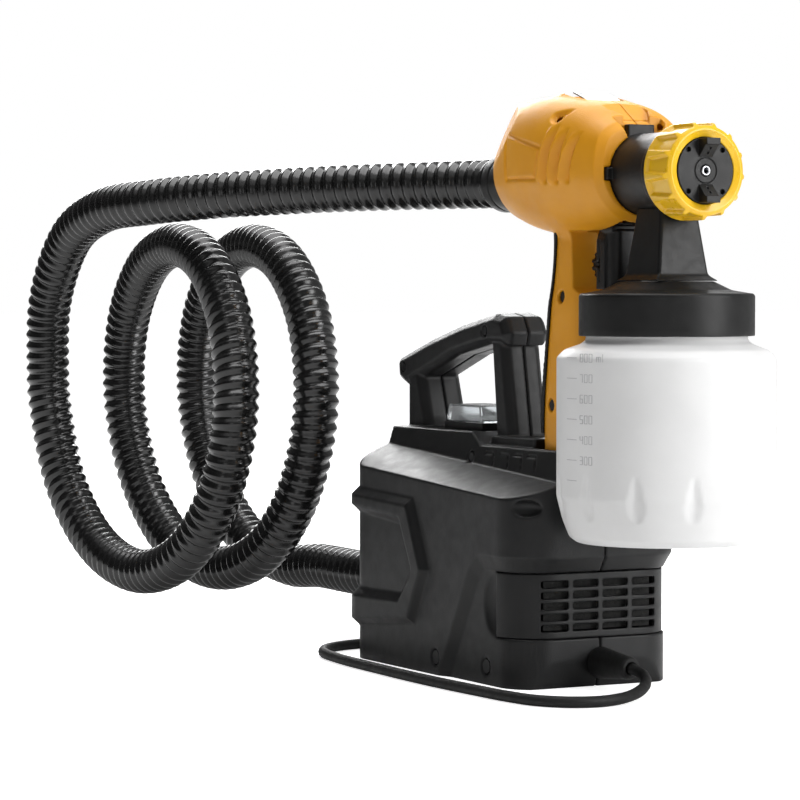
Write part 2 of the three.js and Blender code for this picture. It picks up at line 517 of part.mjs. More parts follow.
function airCap() {
  const face = turnedX([[3, RING.front - 5.4], [20, RING.front - 5.4], [20, RING.front - 2.8], [16.6, RING.front - 2.8],
    [16.6, RING.front - 0.6], [3, RING.front - 0.6]], NOZZLE_Z, 32);
  const horn = (side) => {
    const points = [[RING.front - 1.5, 6.5], [RING.front + 1, 8], [RING.front + 6, 13], [RING.front + 6, 15.5],
      [RING.front - 1.5, 15.5]];
    return plate(points.map(([x, r]) => [x, NOZZLE_Z + side * r]), 4.2);
  };
  let cap = union(face, horn(1), horn(-1));
  for (const [y, z] of [[-1, -1], [-1, 1], [1, -1], [1, 1]]) {
    cap = cut(cap, turnedX(disc(1.2, 130, 150), NOZZLE_Z + z * 10.7, 8, y * 9.6));
  }
  return cap;
}
add('air_cap', airCap(), BLACK);
add('fluid_nozzle', turnedX([[1.4, 112], [6, 112], [6, 120], [4.5, 124], [4.5, 133.5], [2.4, 138], [2.4, 144.5], [1.4, 144.5]],
  NOZZLE_Z, 16), SILVER);
const needleRod = turnedX([[0, 22], [1.1, 22], [1.1, 53.4], [4.5, 53.4], [4.5, 56.4], [1.1, 56.4], [1.1, 140],
  [0, 144]], NOZZLE_Z, 12);
add('needle', union(needleRod, box(53.4, 56.4, -7.8, 7.8, NOZZLE_Z - 1.5, NOZZLE_Z + 1.5)), STEEL);
add('packing_nut', turnedX(ring(1.4, 6, 100.4, 105.6), NOZZLE_Z, 6), BRASS);

function needleSpring() {
  const turns = 5;
  const points = Array.from({ length: turns * 8 + 1 }, (_, i) => {
    const angle = (2 * Math.PI * i) / 8;
    return [25 + (25.5 * i) / (turns * 8), 4 * Math.cos(angle), NOZZLE_Z + 4 * Math.sin(angle)];
  });
  return tubeAlong(points, circlePoints(0.5, 6), turns * 9);
}
add('needle_spring', needleSpring(), STEEL);

// ---------- trigger ----------
function trigger() {
  const lever = plate([[56, 213], [56, 240], [58, 292], [66, 292], [66, 240], [70, 238], [71.5, 228], [69, 214],
    [64, 210]], 8.5, 1.2);
  const slot = box(50, 71, -5.5, 5.5, 244, 300);
  const wheelRoom = turnedX(disc(WHEEL.radius + 0.8, 50, 60.5), WHEEL.z, 16);
  return cut(lever, slot, wheelRoom, pinY(TRIGGER_PIVOT.x, TRIGGER_PIVOT.z, 2.3, -20, 20, 12));
}
add('trigger', trigger(), BLACK);
add('trigger_pin', pinY(TRIGGER_PIVOT.x, TRIGGER_PIVOT.z, 2, -15.5, 15.5, 12), STEEL);
let wheel = turnedX(disc(WHEEL.radius, WHEEL.x, WHEEL.x + 5), WHEEL.z, 24);
for (let i = 0; i < 12; i++) {
  const turn = new THREE.Matrix4().makeRotationX((2 * Math.PI * i) / 12);
  const at = place(WHEEL.x + 2.5, 0, WHEEL.z).multiply(turn).multiply(place(0, 0, WHEEL.radius));
  wheel = cut(wheel, solid(new THREE.BoxGeometry(8, 1.4, 2), at));
}
add('flow_wheel', wheel, BLACK);

// ---------- air hose ----------
function hoseRoute() {
  const points = [[BASE.rear - 26.8, 0, PORT_Z], [-200, 0, PORT_Z], [-242, -1, 39.5], [-284, -2.5, 40]];
  const perTurn = 12;
  for (let i = 0; i <= HOSE.turns * perTurn; i++) {
    const angle = (2 * Math.PI * i) / perTurn;
    points.push([LOOP.x - LOOP.halfWidth * Math.sin(angle), HOSE.startY - (HOSE.pitch * i) / perTurn,
      LOOP.z - LOOP.halfHeight * Math.cos(angle)]);
  }
  points.push([-436, -124, 165], [-424, -127, 205], [-388, -129, 244], [-335, -128, 261], [-285, -119, 265],
    [-235, -99, 268], [-185, -70, 270], [-135, -38, 271.2], [-100, -15, NOZZLE_Z], [-76, -3, NOZZLE_Z],
    [GUN_REAR - 21, 0, NOZZLE_Z]);
  return points;
}
add('hose', tubeAlong(hoseRoute(), circlePoints(HOSE.radius, 8), 44, circlePoints(HOSE.bore, 8).reverse()), HOSE_BLACK);

// ---------- power cord ----------
const cordSection = circlePoints(CORD.radius, 8);
const cordRoute = [[76.3, 0, CORD.exitZ], [88, 0, 10.5], [100, -7, 7], [111, -22, 4.2], [117, -41, 3.2], [113, -59, 3.2],
  [99, -71, 3.2], [77, -76, 3.2], [50, -78, 3.2], [0, -80, 3.2], [-60, -79, 3.2], [-115, -76, 3.2], [-145, -70, 3.2],
  [-164, -56, 3.2], [-173, -36, 3.2], [-176, -8, 3.2], [-179, 25, 3.2], [-184, 55, 3.2], [-190.8, 88, 3.2]];
add('power_cord', tubeAlong(cordRoute, cordSection, 44), RUBBER);
const coilRing = ring(COIL.mid - COIL.halfWidth, COIL.mid + COIL.halfWidth, 0.2, COIL.height);
add('cord_coil', turned(coilRing, 32, place(COIL.x, COIL.y, 0)), RUBBER);
const tailRoute = [[-107.4, 104, 3.2], [-107.2, 94, 3.2], [-105, 84, 4.5], [-98.5, 76, 7.5], [-89.2, 72.5, 9.5]];
add('cord_tail', tubeAlong(tailRoute, cordSection, 8), RUBBER);

function mainsPlug() {
  const body = plate([[-88, 3], [-88, 16], [-70, 20], [-52, 20], [-52, 0.2], [-70, 0.2]], 13, 2, 72);
  return union(body, box(-53, -34, 64, 67, 8, 13), box(-53, -34, 77, 80, 8, 13));
}
add('plug', mainsPlug(), RUBBER);

group.position.x = CENTRE_SHIFT;
export default group;
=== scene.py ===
"""Looks of the turbine paint sprayer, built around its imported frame.

Shapes are worked out in millimetres in the sprayer's design frame, whose X starts at the front part of the
base, and are moved into the row frame, in metres, when their meshes are made.
"""
import json
import math

import bmesh
import bpy
import numpy as np
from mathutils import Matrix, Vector


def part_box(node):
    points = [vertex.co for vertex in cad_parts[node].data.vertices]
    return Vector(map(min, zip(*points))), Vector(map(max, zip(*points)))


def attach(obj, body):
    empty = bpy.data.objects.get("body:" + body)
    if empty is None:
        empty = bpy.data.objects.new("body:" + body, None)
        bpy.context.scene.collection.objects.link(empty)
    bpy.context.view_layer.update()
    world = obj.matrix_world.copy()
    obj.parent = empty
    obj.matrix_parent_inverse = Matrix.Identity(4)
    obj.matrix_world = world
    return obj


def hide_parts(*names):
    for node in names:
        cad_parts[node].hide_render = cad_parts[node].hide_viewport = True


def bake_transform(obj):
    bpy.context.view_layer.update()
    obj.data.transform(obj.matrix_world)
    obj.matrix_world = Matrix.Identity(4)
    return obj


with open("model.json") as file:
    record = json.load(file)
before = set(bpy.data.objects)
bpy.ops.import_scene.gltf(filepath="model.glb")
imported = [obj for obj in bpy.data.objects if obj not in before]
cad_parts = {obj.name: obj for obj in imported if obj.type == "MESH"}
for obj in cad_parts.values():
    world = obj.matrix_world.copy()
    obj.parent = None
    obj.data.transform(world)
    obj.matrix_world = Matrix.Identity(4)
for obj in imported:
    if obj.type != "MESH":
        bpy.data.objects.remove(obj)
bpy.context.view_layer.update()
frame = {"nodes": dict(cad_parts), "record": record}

# ---------- places, from the frame ----------
MM = 0.001
CUP_X = 109  # the cup's axis in the design frame


def middle(node, axis):
    low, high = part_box(node)
    return (low[axis] + high[axis]) / 2


SHIFT = middle("cup", 0) / MM - CUP_X
NOZZLE_Z = middle("fluid_nozzle", 2) / MM
PORT_Z = middle("hose_port", 2) / MM
CORD_Z = middle("strain_relief", 2) / MM


def to_row(point):
    return ((point[0] + SHIFT) * MM, point[1] * MM, point[2] * MM)


# ---------- driving dimensions, as in the CAD source ----------
BASE = {"front": 50, "rear": -146}
GUN_REAR, GUN_FRONT = -36, 88
BARREL_RADIUS = 21
CUP = {"radius": 56.5, "bottom": 82, "shoulder": 181, "neck": 41.5, "rim": 204}
LID = {"radius": 45.15, "bottom": 188, "top": 210}
RING = {"rear": 124, "front": 144, "radius": 23.5, "lip": 17, "notches": 13}
HOSE = {"radius": 14, "pitch": 52.7, "turns": 2.25, "start_y": -4}
LOOP = {"x": -322.4, "z": 139, "half_width": 114, "half_height": 101}
CORD_RADIUS = 3
COIL = {"x": -150, "y": 100}
CORD_LIES = 3.2  # height of the cord's centre where it lies on the floor
SEAM = 0.15  # half of the gap between two casing halves


# ---------- camera ----------
def make_camera():
    data = bpy.data.cameras.new("camera")
    data.sensor_width = 36
    data.lens = 141.2
    data.clip_end = 50
    camera = bpy.data.objects.new("camera", data)
    camera.location = to_row((1467.8, -877.6, 209.0))
    camera.rotation_euler = (math.radians(88.083), 0, math.radians(62))
    bpy.context.scene.collection.objects.link(camera)
    bpy.context.scene.camera = camera


make_camera()


# ---------- curves ----------
def through(points, spacing):
    """Points every spacing mm along a centripetal Catmull-Rom curve through points."""
    p = np.array(points, float)
    p = np.vstack([2 * p[0] - p[1], p, 2 * p[-1] - p[-2]])
    line = []
    for a, b, c, d in zip(p, p[1:], p[2:], p[3:]):
        t1 = np.linalg.norm(b - a) ** 0.5
        t2 = t1 + np.linalg.norm(c - b) ** 0.5
        t3 = t2 + np.linalg.norm(d - c) ** 0.5
        t = np.linspace(t1, t2, 24, endpoint=False)[:, None]
        a1 = (t1 - t) / t1 * a + t / t1 * b
        a2 = (t2 - t) / (t2 - t1) * b + (t - t1) / (t2 - t1) * c
        a3 = (t3 - t) / (t3 - t2) * c + (t - t2) / (t3 - t2) * d
        b1 = (t2 - t) / t2 * a1 + t / t2 * a2
        b2 = (t3 - t) / (t3 - t1) * a2 + (t - t1) / (t3 - t1) * a3
        line.append((t2 - t) / (t2 - t1) * b1 + (t - t1) / (t2 - t1) * b2)
    line = np.vstack([*line, p[-2]])
    along = np.concatenate([[0], np.cumsum(np.linalg.norm(np.diff(line, axis=0), axis=1))])
    count = int(round(along[-1] / spacing)) + 1
    at = np.linspace(0, along[-1], count)
    return np.stack([np.interp(at, along, line[:, k]) for k in range(3)], axis=1), along[-1]


def hose_route():
    points = [[BASE["rear"] - 26.8, 0, PORT_Z], [-200, 0, PORT_Z], [-242, -1, 39.5], [-284, -2.5, 40]]
    per_turn = 12
    for i in range(int(HOSE["turns"] * per_turn) + 1):
        angle = 2 * math.pi * i / per_turn
        points.append([LOOP["x"] - LOOP["half_width"] * math.sin(angle),
                       HOSE["start_y"] - HOSE["pitch"] * i / per_turn,
                       LOOP["z"] - LOOP["half_height"] * math.cos(angle)])
    points += [[-436, -124, 165], [-424, -127, 205], [-388, -127.8, 244], [-335, -127.2, 261],
               [-285, -119, 265],
               [-235, -99, 268], [-185, -70, 270], [-135, -38, 271.2], [-100, -15, NOZZLE_Z],
               [-76, -3, NOZZLE_Z],
               [GUN_REAR - 21, 0, NOZZLE_Z]]
    return points


def cord_route():
    points = [[76.3, 0, CORD_Z], [88, 0, 10.5], [100, -7, 7], [111, -22, 4.2], [117, -41, 3.2],
              [113, -59, 3.2],
              [99, -71, 3.2], [77, -76, 3.2], [50, -78, 3.2], [0, -80, 3.2], [-60, -79, 3.2],
              [-115, -76, 3.2],
              [-145, -70, 3.2], [-164, -56, 3.2], [-173, -36, 3.2], [-176, -8, 3.2], [-179, 25, 3.2],
              [-184, 55, 3.2]]
    # The turns lie beside and on each other, and the cord then comes down outside them.
    layers = [(36, 3.2), (30, 3.2), (30, 9.2), (30, 15), (36, 15), (36, 9.2)]
    per_turn = 24
    start = math.radians(196.4)
    total = 5 + 196.4 / 360
    for i in range(int(total * per_turn) + 1):
        turn = i / per_turn
        this, following = layers[int(turn)], layers[min(int(turn) + 1, 5)]
        share = ramped(turn % 1, 0.75, 1) if turn < 5 else 0
        leaving = ramped(turn, 5.2, total)
        radius = this[0] + (following[0] - this[0]) * share + 6.6 * (1 - ramped(turn, 0, 0.13))
        radius += (42.6 - layers[-1][0]) * leaving
        height = this[1] + (following[1] - this[1]) * share + (CORD_LIES - layers[-1][1]) * leaving
        angle = start - 2 * math.pi * turn
        points.append([COIL["x"] + radius * math.cos(angle), COIL["y"] + radius * math.sin(angle), height])
    points += [[-107.2, 93, 3.2], [-105, 84, 4.5], [-98.5, 76, 7.5], [-89.2, 72.5, 9.5]]
    return points


# ---------- meshes ----------
def new_object(name, mesh):
    piece = bpy.data.objects.new(name, mesh)
    bpy.context.scene.collection.objects.link(piece)
    return piece


def mesh_of(name, points, faces, smooth=True):
    """Object from points in design mm and faces of equal size, given as arrays."""
    points = (np.asarray(points, float) + [SHIFT, 0, 0]) * MM
    faces = np.asarray(faces, np.int32)
    size = faces.shape[1]
    mesh = bpy.data.meshes.new(name)
    mesh.vertices.add(len(points))
    mesh.vertices.foreach_set("co", points.astype(np.float32).ravel())
    mesh.loops.add(faces.size)
    mesh.loops.foreach_set("vertex_index", faces.ravel())
    mesh.polygons.add(len(faces))
    mesh.polygons.foreach_set("loop_start", np.arange(0, faces.size, size, dtype=np.int32))
    mesh.polygons.foreach_set("use_smooth", np.full(len(faces), smooth))
    mesh.update(calc_edges=True)
    mesh.validate()
    return new_object(name, mesh)


def grid_faces(rows, columns, closed_rows=False, closed_columns=True):
    i = np.arange(rows if closed_rows else rows - 1)[:, None]
    j = np.arange(columns if closed_columns else columns - 1)[None, :]
    i2, j2 = (i + 1) % rows, (j + 1) % columns
    corners = [i * columns + j, i * columns + j2, i2 * columns + j2, i2 * columns + j]
    return np.stack([np.broadcast_to(c, (i.shape[0], j.shape[1])).ravel() for c in corners], axis=1)


def turned(name, profile, centre=(CUP_X, 0), segments=96):
    """Closed profile of (radius, z) points turned about an upright axis."""
    profile = np.array(profile, float)
    angle = np.linspace(0, 2 * np.pi, segments, endpoint=False)
    r, z = profile[:, 0][:, None], profile[:, 1][:, None]
    points = np.stack([centre[0] + r * np.cos(angle), centre[1] + r * np.sin(angle),
                       z + 0 * angle], axis=2).reshape(-1, 3)
    piece = mesh_of(name, points, grid_faces(len(profile), segments, closed_rows=True))
    return recalculated(piece)


def recalculated(piece):
    """Merges the points that coincide on an axis and turns all faces outwards."""
    work = bmesh.new()
    work.from_mesh(piece.data)
    bmesh.ops.remove_doubles(work, verts=work.verts, dist=1e-7)
    bmesh.ops.recalc_face_normals(work, faces=work.faces)
    work.to_mesh(piece.data)
    work.free()
    return piece


# ---------- solid shapes as distance fields ----------
def smooth_max(a, b, r):
    h = np.clip(0.5 + 0.5 * (a - b) / r, 0, 1)
    return b + (a - b) * h + r * h * (1 - h)


def smooth_min(a, b, r):
    return -smooth_max(-a, -b, r)


def cut(shape, tool, r):
    return smooth_max(shape, -tool, r)


def chamfer_max(a, b, width, r=0.4):
    return smooth_max(smooth_max(a, b, r), (a + b + width) * 0.70711, r)


def every(r, *fields):
    """Where all fields hold, with edges rounded by about r."""
    result = fields[0]
    for field in fields[1:]:
        result = smooth_max(result, field, r)
    return result


def slab(u, low, high):
    return np.abs(u - (low + high) / 2) - (high - low) / 2


def block(p, x0, x1, y0, y1, z0, z1, r=0.6):
    return every(r, slab(p[0], x0, x1), slab(p[1], y0, y1), slab(p[2], z0, z1))


def outline(u, v, points):
    """Distance to a closed polygon in the plane, negative inside."""
    nearest = np.full(u.shape, 1e12)
    inside = np.zeros(u.shape, bool)
    for (u0, v0), (u1, v1) in zip(points, points[1:] + points[:1]):
        du, dv = u1 - u0, v1 - v0
        wu, wv = u - u0, v - v0
        t = np.clip((wu * du + wv * dv) / (du * du + dv * dv), 0, 1)
        nearest = np.minimum(nearest, (wu - du * t) ** 2 + (wv - dv * t) ** 2)
        if v0 != v1:
            inside ^= ((v0 > v) != (v1 > v)) & (u < du * (v - v0) / dv + u0)
    distance = np.sqrt(nearest)
    return np.where(inside, -distance, distance)


def convex(u, v, points, r=0.6):
    """Distance to a convex polygon, given anticlockwise, with rounded corners."""
    sides = []
    for (u0, v0), (u1, v1) in zip(points, points[1:] + points[:1]):
        length = math.hypot(u1 - u0, v1 - v0)
        sides.append(((u - u0) * (v1 - v0) - (v - v0) * (u1 - u0)) / length)
    return every(r, *sides)


def cylinder_x(p, y, z, radius):
    return np.hypot(p[1] - y, p[2] - z) - radius


def cylinder_y(p, x, z, radius):
    return np.hypot(p[0] - x, p[2] - z) - radius


def rounded_plan(p, x0, x1, half, rear_radius, front_radius):
    """Distance to a plan with round corners, which may differ at the rear and the front."""
    centre = (x0 + x1) / 2
    radius = np.where(p[0] > centre, front_radius, rear_radius)
    dx = np.abs(p[0] - centre) - (x1 - x0) / 2 + radius
    dy = np.abs(p[1]) - half + radius
    return np.hypot(np.maximum(dx, 0), np.maximum(dy, 0)) + np.minimum(np.maximum(dx, dy), 0) - radius


def capsule(p, a, b, ra, rb):
    """A round cone between two points."""
    a, b = np.array(a, float), np.array(b, float)
    d = b - a
    w = [p[k] - a[k] for k in range(3)]
    t = np.clip(sum(w[k] * d[k] for k in range(3)) / (d @ d), 0, 1)
    return np.sqrt(sum((w[k] - d[k] * t) ** 2 for k in range(3))) - (ra + (rb - ra) * t)


BLOCK = 8  # grid points along each side of a block that is looked at together


def sampled(field, low, step, blocks):
    """The field on a grid, worked out in full only in the blocks near its surface."""
    size = step * BLOCK
    starts = np.stack(np.meshgrid(*[np.arange(n) for n in blocks], indexing="ij"), axis=-1).reshape(-1, 3)
    centres = low + (starts + 0.5) * size
    rough = field(centres.T)
    reach = size * math.sqrt(3) / 2 * 1.6 + 1
    near = np.abs(rough) < reach
    values = np.empty([n * BLOCK for n in blocks], np.float32)
    split = values.reshape(blocks[0], BLOCK, blocks[1], BLOCK, blocks[2], BLOCK).transpose(0, 2, 4, 1, 3, 5)
    far = starts[~near]
    split[far[:, 0], far[:, 1], far[:, 2]] = np.sign(rough[~near])[:, None, None, None] * reach
    offsets = np.stack(np.meshgrid(*[np.arange(BLOCK)] * 3, indexing="ij"), axis=-1) * step
    close = starts[near]
    for begin in range(0, len(close), 1500):
        part = close[begin:begin + 1500]
        points = (low + part * size)[:, None, None, None, :] + offsets
        found = field(points.reshape(-1, 3).T).reshape(points.shape[:-1])
        split[part[:, 0], part[:, 1], part[:, 2]] = found
    return values


def net(values):
    """Points, in grid steps, and quads of the surface where the grid's values change sign."""
    inside = values < 0
    count = np.zeros([n - 1 for n in values.shape], np.uint8)
    ends = (slice(None, -1), slice(1, None))
    for a in ends:
        for b in ends:
            for c in ends:
                count += inside[a, b, c]
    active = (count > 0) & (count < 8)
    cells = np.argwhere(active)
    corner = {}
    for a in (0, 1):
        for b in (0, 1):
            for c in (0, 1):
                corner[a, b, c] = values[cells[:, 0] + a, cells[:, 1] + b, cells[:, 2] + c]
    total, hits = np.zeros((len(cells), 3)), np.zeros(len(cells))
    for axis in range(3):
        for u in (0, 1):
            for v in (0, 1):
                start = [u, v]
                start.insert(axis, 0)
                end = [u, v]
                end.insert(axis, 1)
                f0, f1 = corner[tuple(start)], corner[tuple(end)]
                crossed = (f0 < 0) != (f1 < 0)
                t = np.where(crossed, f0 / np.where(crossed, f0 - f1, 1), 0)
                place = np.array(start, float) + np.zeros((len(cells), 3))
                place[:, axis] = t
                total += np.where(crossed[:, None], place, 0)
                hits += crossed
    number = np.full(active.shape, -1, np.int32)
    number[active] = np.arange(len(cells))
    quads = []
    for axis in range(3):
        first, second = (axis + 1) % 3, (axis + 2) % 3
        before = [slice(1, -1)] * 3
        after = [slice(1, -1)] * 3
        before[axis], after[axis] = slice(None, -1), slice(1, None)
        starts_inside = inside[tuple(before)]
        edges = np.argwhere(starts_inside != inside[tuple(after)])
        at = edges.copy()
        at[:, first] += 1
        at[:, second] += 1
        around = []
        for da, db in ((-1, -1), (0, -1), (0, 0), (-1, 0)):
            cell = at.copy()
            cell[:, first] += da
            cell[:, second] += db
            around.append(number[cell[:, 0], cell[:, 1], cell[:, 2]])
        ring = np.stack(around, axis=1)
        outwards = starts_inside[edges[:, 0], edges[:, 1], edges[:, 2]]
        quads.append(np.where(outwards[:, None], ring, ring[:, ::-1]))
    return cells + total / hits[:, None], np.vstack(quads)


def slope(field, points, width):
    """The field's gradient at points, by central differences."""
    result = np.empty_like(points)
    for k in range(3):
        off = np.zeros(3)
        off[k] = width
        result[:, k] = (field((points + off).T) - field((points - off).T)) / (2 * width)
    return result


def solid(name, field, low, high, step):
    """Mesh of the solid where the field is negative, on a grid of the given step."""
    step = step * 1
    low = np.array(low, float) - 2 * step
    blocks = [int(math.ceil((h + 2 * step - l) / step / BLOCK)) for l, h in zip(low, high)]
    points, quads = net(sampled(field, low, step, blocks))
    points = low + points * step
    for _ in range(2):
        gradient = slope(field, points, 0.15 * step)
        size = np.maximum((gradient ** 2).sum(axis=1), 0.25)
        move = np.clip(field(points.T) / size, -0.6 * step, 0.6 * step)
        points = points - move[:, None] * gradient
    return mesh_of(name, points, quads)


def spread(knots, spacing=0.5):
    """Fine table of a smooth curve through (place, value, ...) rows, for interp."""
    rows = np.array(knots, float)
    x = rows[:, 0]
    at = np.arange(x[0], x[-1] + spacing, spacing).clip(x[0], x[-1])
    columns = [at]
    for values in rows[:, 1:].T:
        slopes = np.gradient(values, x)
        k = np.clip(np.searchsorted(x, at, side="right") - 1, 0, len(x) - 2)
        width = x[k + 1] - x[k]
        t = (at - x[k]) / width
        columns.append((2 * t ** 3 - 3 * t ** 2 + 1) * values[k] + (t ** 3 - 2 * t ** 2 + t) * width * slopes[k]
                       + (3 * t ** 2 - 2 * t ** 3) * values[k + 1] + (t ** 3 - t ** 2) * width * slopes[k + 1])
    return columns


def ramped(u, low, high):
    t = np.clip((u - low) / (high - low), 0, 1)
    return t * t * (3 - 2 * t)


# ---------- materials ----------
MATERIALS = {}


def make_material(name, colour, other, patch, rough, grain, bump, metal=0, coat=0, see_through=0, glow=0,
                  streak=1,
                  shine=0.5):
    """Plastic, rubber or metal whose colour, gloss and surface vary by noise.

    patch and grain are noise scales per metre; rough is the lowest and highest roughness; bump is the grain's
    depth in metres; streak stretches the grain along X.
    """
    material = bpy.data.materials.new(name)
    material.use_nodes = True
    nodes, links = material.node_tree.nodes, material.node_tree.links
    shader = nodes["Principled BSDF"]
    place = nodes.new("ShaderNodeTexCoord").outputs["Object"]

    def noise(scale, detail, stretch=1):
        source = place
        if stretch != 1:
            mapping = nodes.new("ShaderNodeMapping")
            mapping.inputs["Scale"].default_value = (1 / stretch, 1, 1)
            links.new(place, mapping.inputs["Vector"])
            source = mapping.outputs["Vector"]
        texture = nodes.new("ShaderNodeTexNoise")
        texture.inputs["Scale"].default_value = scale
        texture.inputs["Detail"].default_value = detail
        links.new(source, texture.inputs["Vector"])
        return texture.outputs["Fac"]

    ramp = nodes.new("ShaderNodeValToRGB")
    ramp.color_ramp.elements[0].position, ramp.color_ramp.elements[1].position = 0.35, 0.65
    ramp.color_ramp.elements[0].color = (*colour, 1)
    ramp.color_ramp.elements[1].color = (*other, 1)
    links.new(noise(patch, 4), ramp.inputs["Fac"])
    links.new(ramp.outputs["Color"], shader.inputs["Base Color"])
    spread_rough = nodes.new("ShaderNodeMapRange")
    spread_rough.inputs["From Min"].default_value, spread_rough.inputs["From Max"].default_value = 0.3, 0.7
    spread_rough.inputs["To Min"].default_value, spread_rough.inputs["To Max"].default_value = rough
    links.new(noise(patch * 2.3, 5), spread_rough.inputs["Value"])
    links.new(spread_rough.outputs["Result"], shader.inputs["Roughness"])
    relief = nodes.new("ShaderNodeBump")
    relief.inputs["Strength"].default_value = 1
    relief.inputs["Distance"].default_value = bump
    links.new(noise(grain, 3, streak), relief.inputs["Height"])
    links.new(relief.outputs["Normal"], shader.inputs["Normal"])
    shader.inputs["Metallic"].default_value = metal
    shader.inputs["Coat Weight"].default_value = coat
    shader.inputs["Coat Roughness"].default_value = 0.15
    shader.inputs["Specular IOR Level"].default_value = shine
    shader.inputs["Transmission Weight"].default_value = see_through
    if glow:
        shader.inputs["Subsurface Weight"].default_value = glow
        shader.inputs["Subsurface Radius"].default_value = (0.012, 0.012, 0.012)
    MATERIALS[name] = material
    return material


make_material("casing", (0.0075, 0.0076, 0.008), (0.0095, 0.0096, 0.0099), 60, (0.38, 0.48), 1800, 0.0001,
              shine=0.3)
make_material("black_plastic", (0.0065, 0.0065, 0.0065), (0.009, 0.009, 0.009), 90, (0.36, 0.46), 2200,
              0.00005, shine=0.3)
make_material("gun_yellow", (0.74, 0.31, 0.004), (0.78, 0.335, 0.006), 50, (0.42, 0.52), 1700, 0.0001)
make_material("ring_yellow", (0.78, 0.45, 0.008), (0.82, 0.49, 0.012), 50, (0.26, 0.34), 1500, 0.00003,
              coat=0.15)
make_material("rubber", (0.007, 0.007, 0.007), (0.0105, 0.0105, 0.0105), 110, (0.5, 0.64), 1500, 0.00008,
              shine=0.3)
make_material("hose_plastic", (0.006, 0.006, 0.006), (0.009, 0.009, 0.009), 80, (0.18, 0.27), 1200, 0.00003,
              coat=0.2)
make_material("cup_plastic", (0.7, 0.7, 0.7), (0.74, 0.74, 0.74), 30, (0.36, 0.46), 1500, 0.00003, glow=0.2)
make_material("cup_scale", (0.42, 0.42, 0.43), (0.5, 0.5, 0.51), 90, (0.4, 0.5), 1500, 0.00002)
make_material("clear_plastic", (0.85, 0.88, 0.9), (0.92, 0.94, 0.95), 60, (0.06, 0.14), 900, 0.00002,
              see_through=0.85)
make_material("foam", (0.006, 0.006, 0.006), (0.014, 0.014, 0.013), 500, (0.85, 0.95), 900, 0.0006)
make_material("board", (0.03, 0.16, 0.06), (0.04, 0.2, 0.08), 90, (0.35, 0.5), 1100, 0.00004)
make_material("fan_plastic", (0.68, 0.67, 0.63), (0.74, 0.73, 0.69), 60, (0.4, 0.5), 1400, 0.00004)
make_material("steel", (0.55, 0.56, 0.58), (0.66, 0.67, 0.69), 150, (0.24, 0.36), 1600, 0.00003, metal=1,
              streak=14)
make_material("dark_steel", (0.012, 0.012, 0.013), (0.02, 0.02, 0.021), 150, (0.35, 0.45), 1600, 0.00003,
              metal=0.6)
make_material("brass", (0.66, 0.48, 0.2), (0.74, 0.55, 0.25), 150, (0.24, 0.34), 1600, 0.00003, metal=1,
              streak=14)
make_material("badge_metal", (0.62, 0.63, 0.65), (0.72, 0.73, 0.75), 80, (0.28, 0.4), 1800, 0.00002,
              metal=1, streak=20)

SLOTS = {
    "base_shell_right": "casing", "base_shell_left": "casing", "vent_cover": "casing",
    "turbine_housing": "casing",
    "gun_shell_right": "gun_yellow", "gun_shell_left": "gun_yellow", "ring_nut": "ring_yellow",
    "strain_relief": "rubber", "power_cord": "rubber", "cord_coil": "rubber", "cord_tail": "rubber",
    "plug": "rubber", "grip_pad": "rubber", "cup_gasket": "rubber", "hose": "hose_plastic",
    "cup": "cup_plastic",
    "switch_boot": "clear_plastic", "pickup_tube": "clear_plastic", "filter_foam": "foam",
    "circuit_board": "board",
    "impeller": "fan_plastic", "top_badge": "badge_metal", "fluid_nozzle": "badge_metal",
    "packing_nut": "brass",
}
for node in ("motor_can", "armature", "rotor_shaft", "bearing_front", "bearing_rear", "needle",
             "needle_spring",
             "trigger_pin", "gun_screw_1", "gun_screw_2", *[f"base_screw_{i}" for i in range(1, 6)]):
    SLOTS[node] = "steel"

BODY_OF = {node: body for body, nodes in frame["record"]["behaviour"]["bodies"].items() for node in nodes}


def finished(piece, slot, body=None, nodes=(), material=None):
    """Gives a piece its material, the one named by slot unless another is given, hides the CAD nodes that it
    stands for and attaches it to its body.
    """
    piece.data.materials.clear()
    piece.data.materials.append(MATERIALS[material or slot])
    if nodes:
        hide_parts(*nodes)
    if body or nodes:
        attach(piece, body or BODY_OF[nodes[0]])
    return piece


for node, shown in frame["nodes"].items():
    shown.data.materials.clear()
    dark = node.startswith(("base_screw", "gun_screw"))
    shown.data.materials.append(MATERIALS["dark_steel" if dark else SLOTS.get(node, "black_plastic")])


# ---------- hose and power cord ----------
def tube(name, line, sides, radius):
    """Tube around the points of line; radius(distance along, angle) gives its surface."""
    line = np.asarray(line)
    along = np.concatenate([[0], np.cumsum(np.linalg.norm(np.diff(line, axis=0), axis=1))])
    tangents = np.gradient(line, axis=0)
    tangents /= np.linalg.norm(tangents, axis=1)[:, None]
    across = np.cross(tangents[0], [0.3, 0.2, 0.9])
    sideways = []
    for tangent in tangents:
        across = across - tangent * (across @ tangent)
        across /= np.linalg.norm(across)
        sideways.append(across)
    sideways = np.array(sideways)
    upwards = np.cross(tangents, sideways)
    angle = np.linspace(0, 2 * np.pi, sides, endpoint=False)
    r = radius(along[:, None], angle[None, :]) + np.zeros((len(line), sides))
    points = (line[:, None, :] + r[..., None] * (np.cos(angle)[None, :, None] * sideways[:, None, :]
                                                 + np.sin(angle)[None, :, None] * upwards[:, None, :]))
    ends = [line[[0]][:, None, :] + 0.02 * (points[:1] - line[0]), points,
            line[[-1]][:, None, :] + 0.02 * (points[-1:] - line[-1])]
    points = np.concatenate(ends)
    return recalculated(mesh_of(name, points.reshape(-1, 3), grid_faces(len(points), sides)))


RIB_PITCH = 7.4


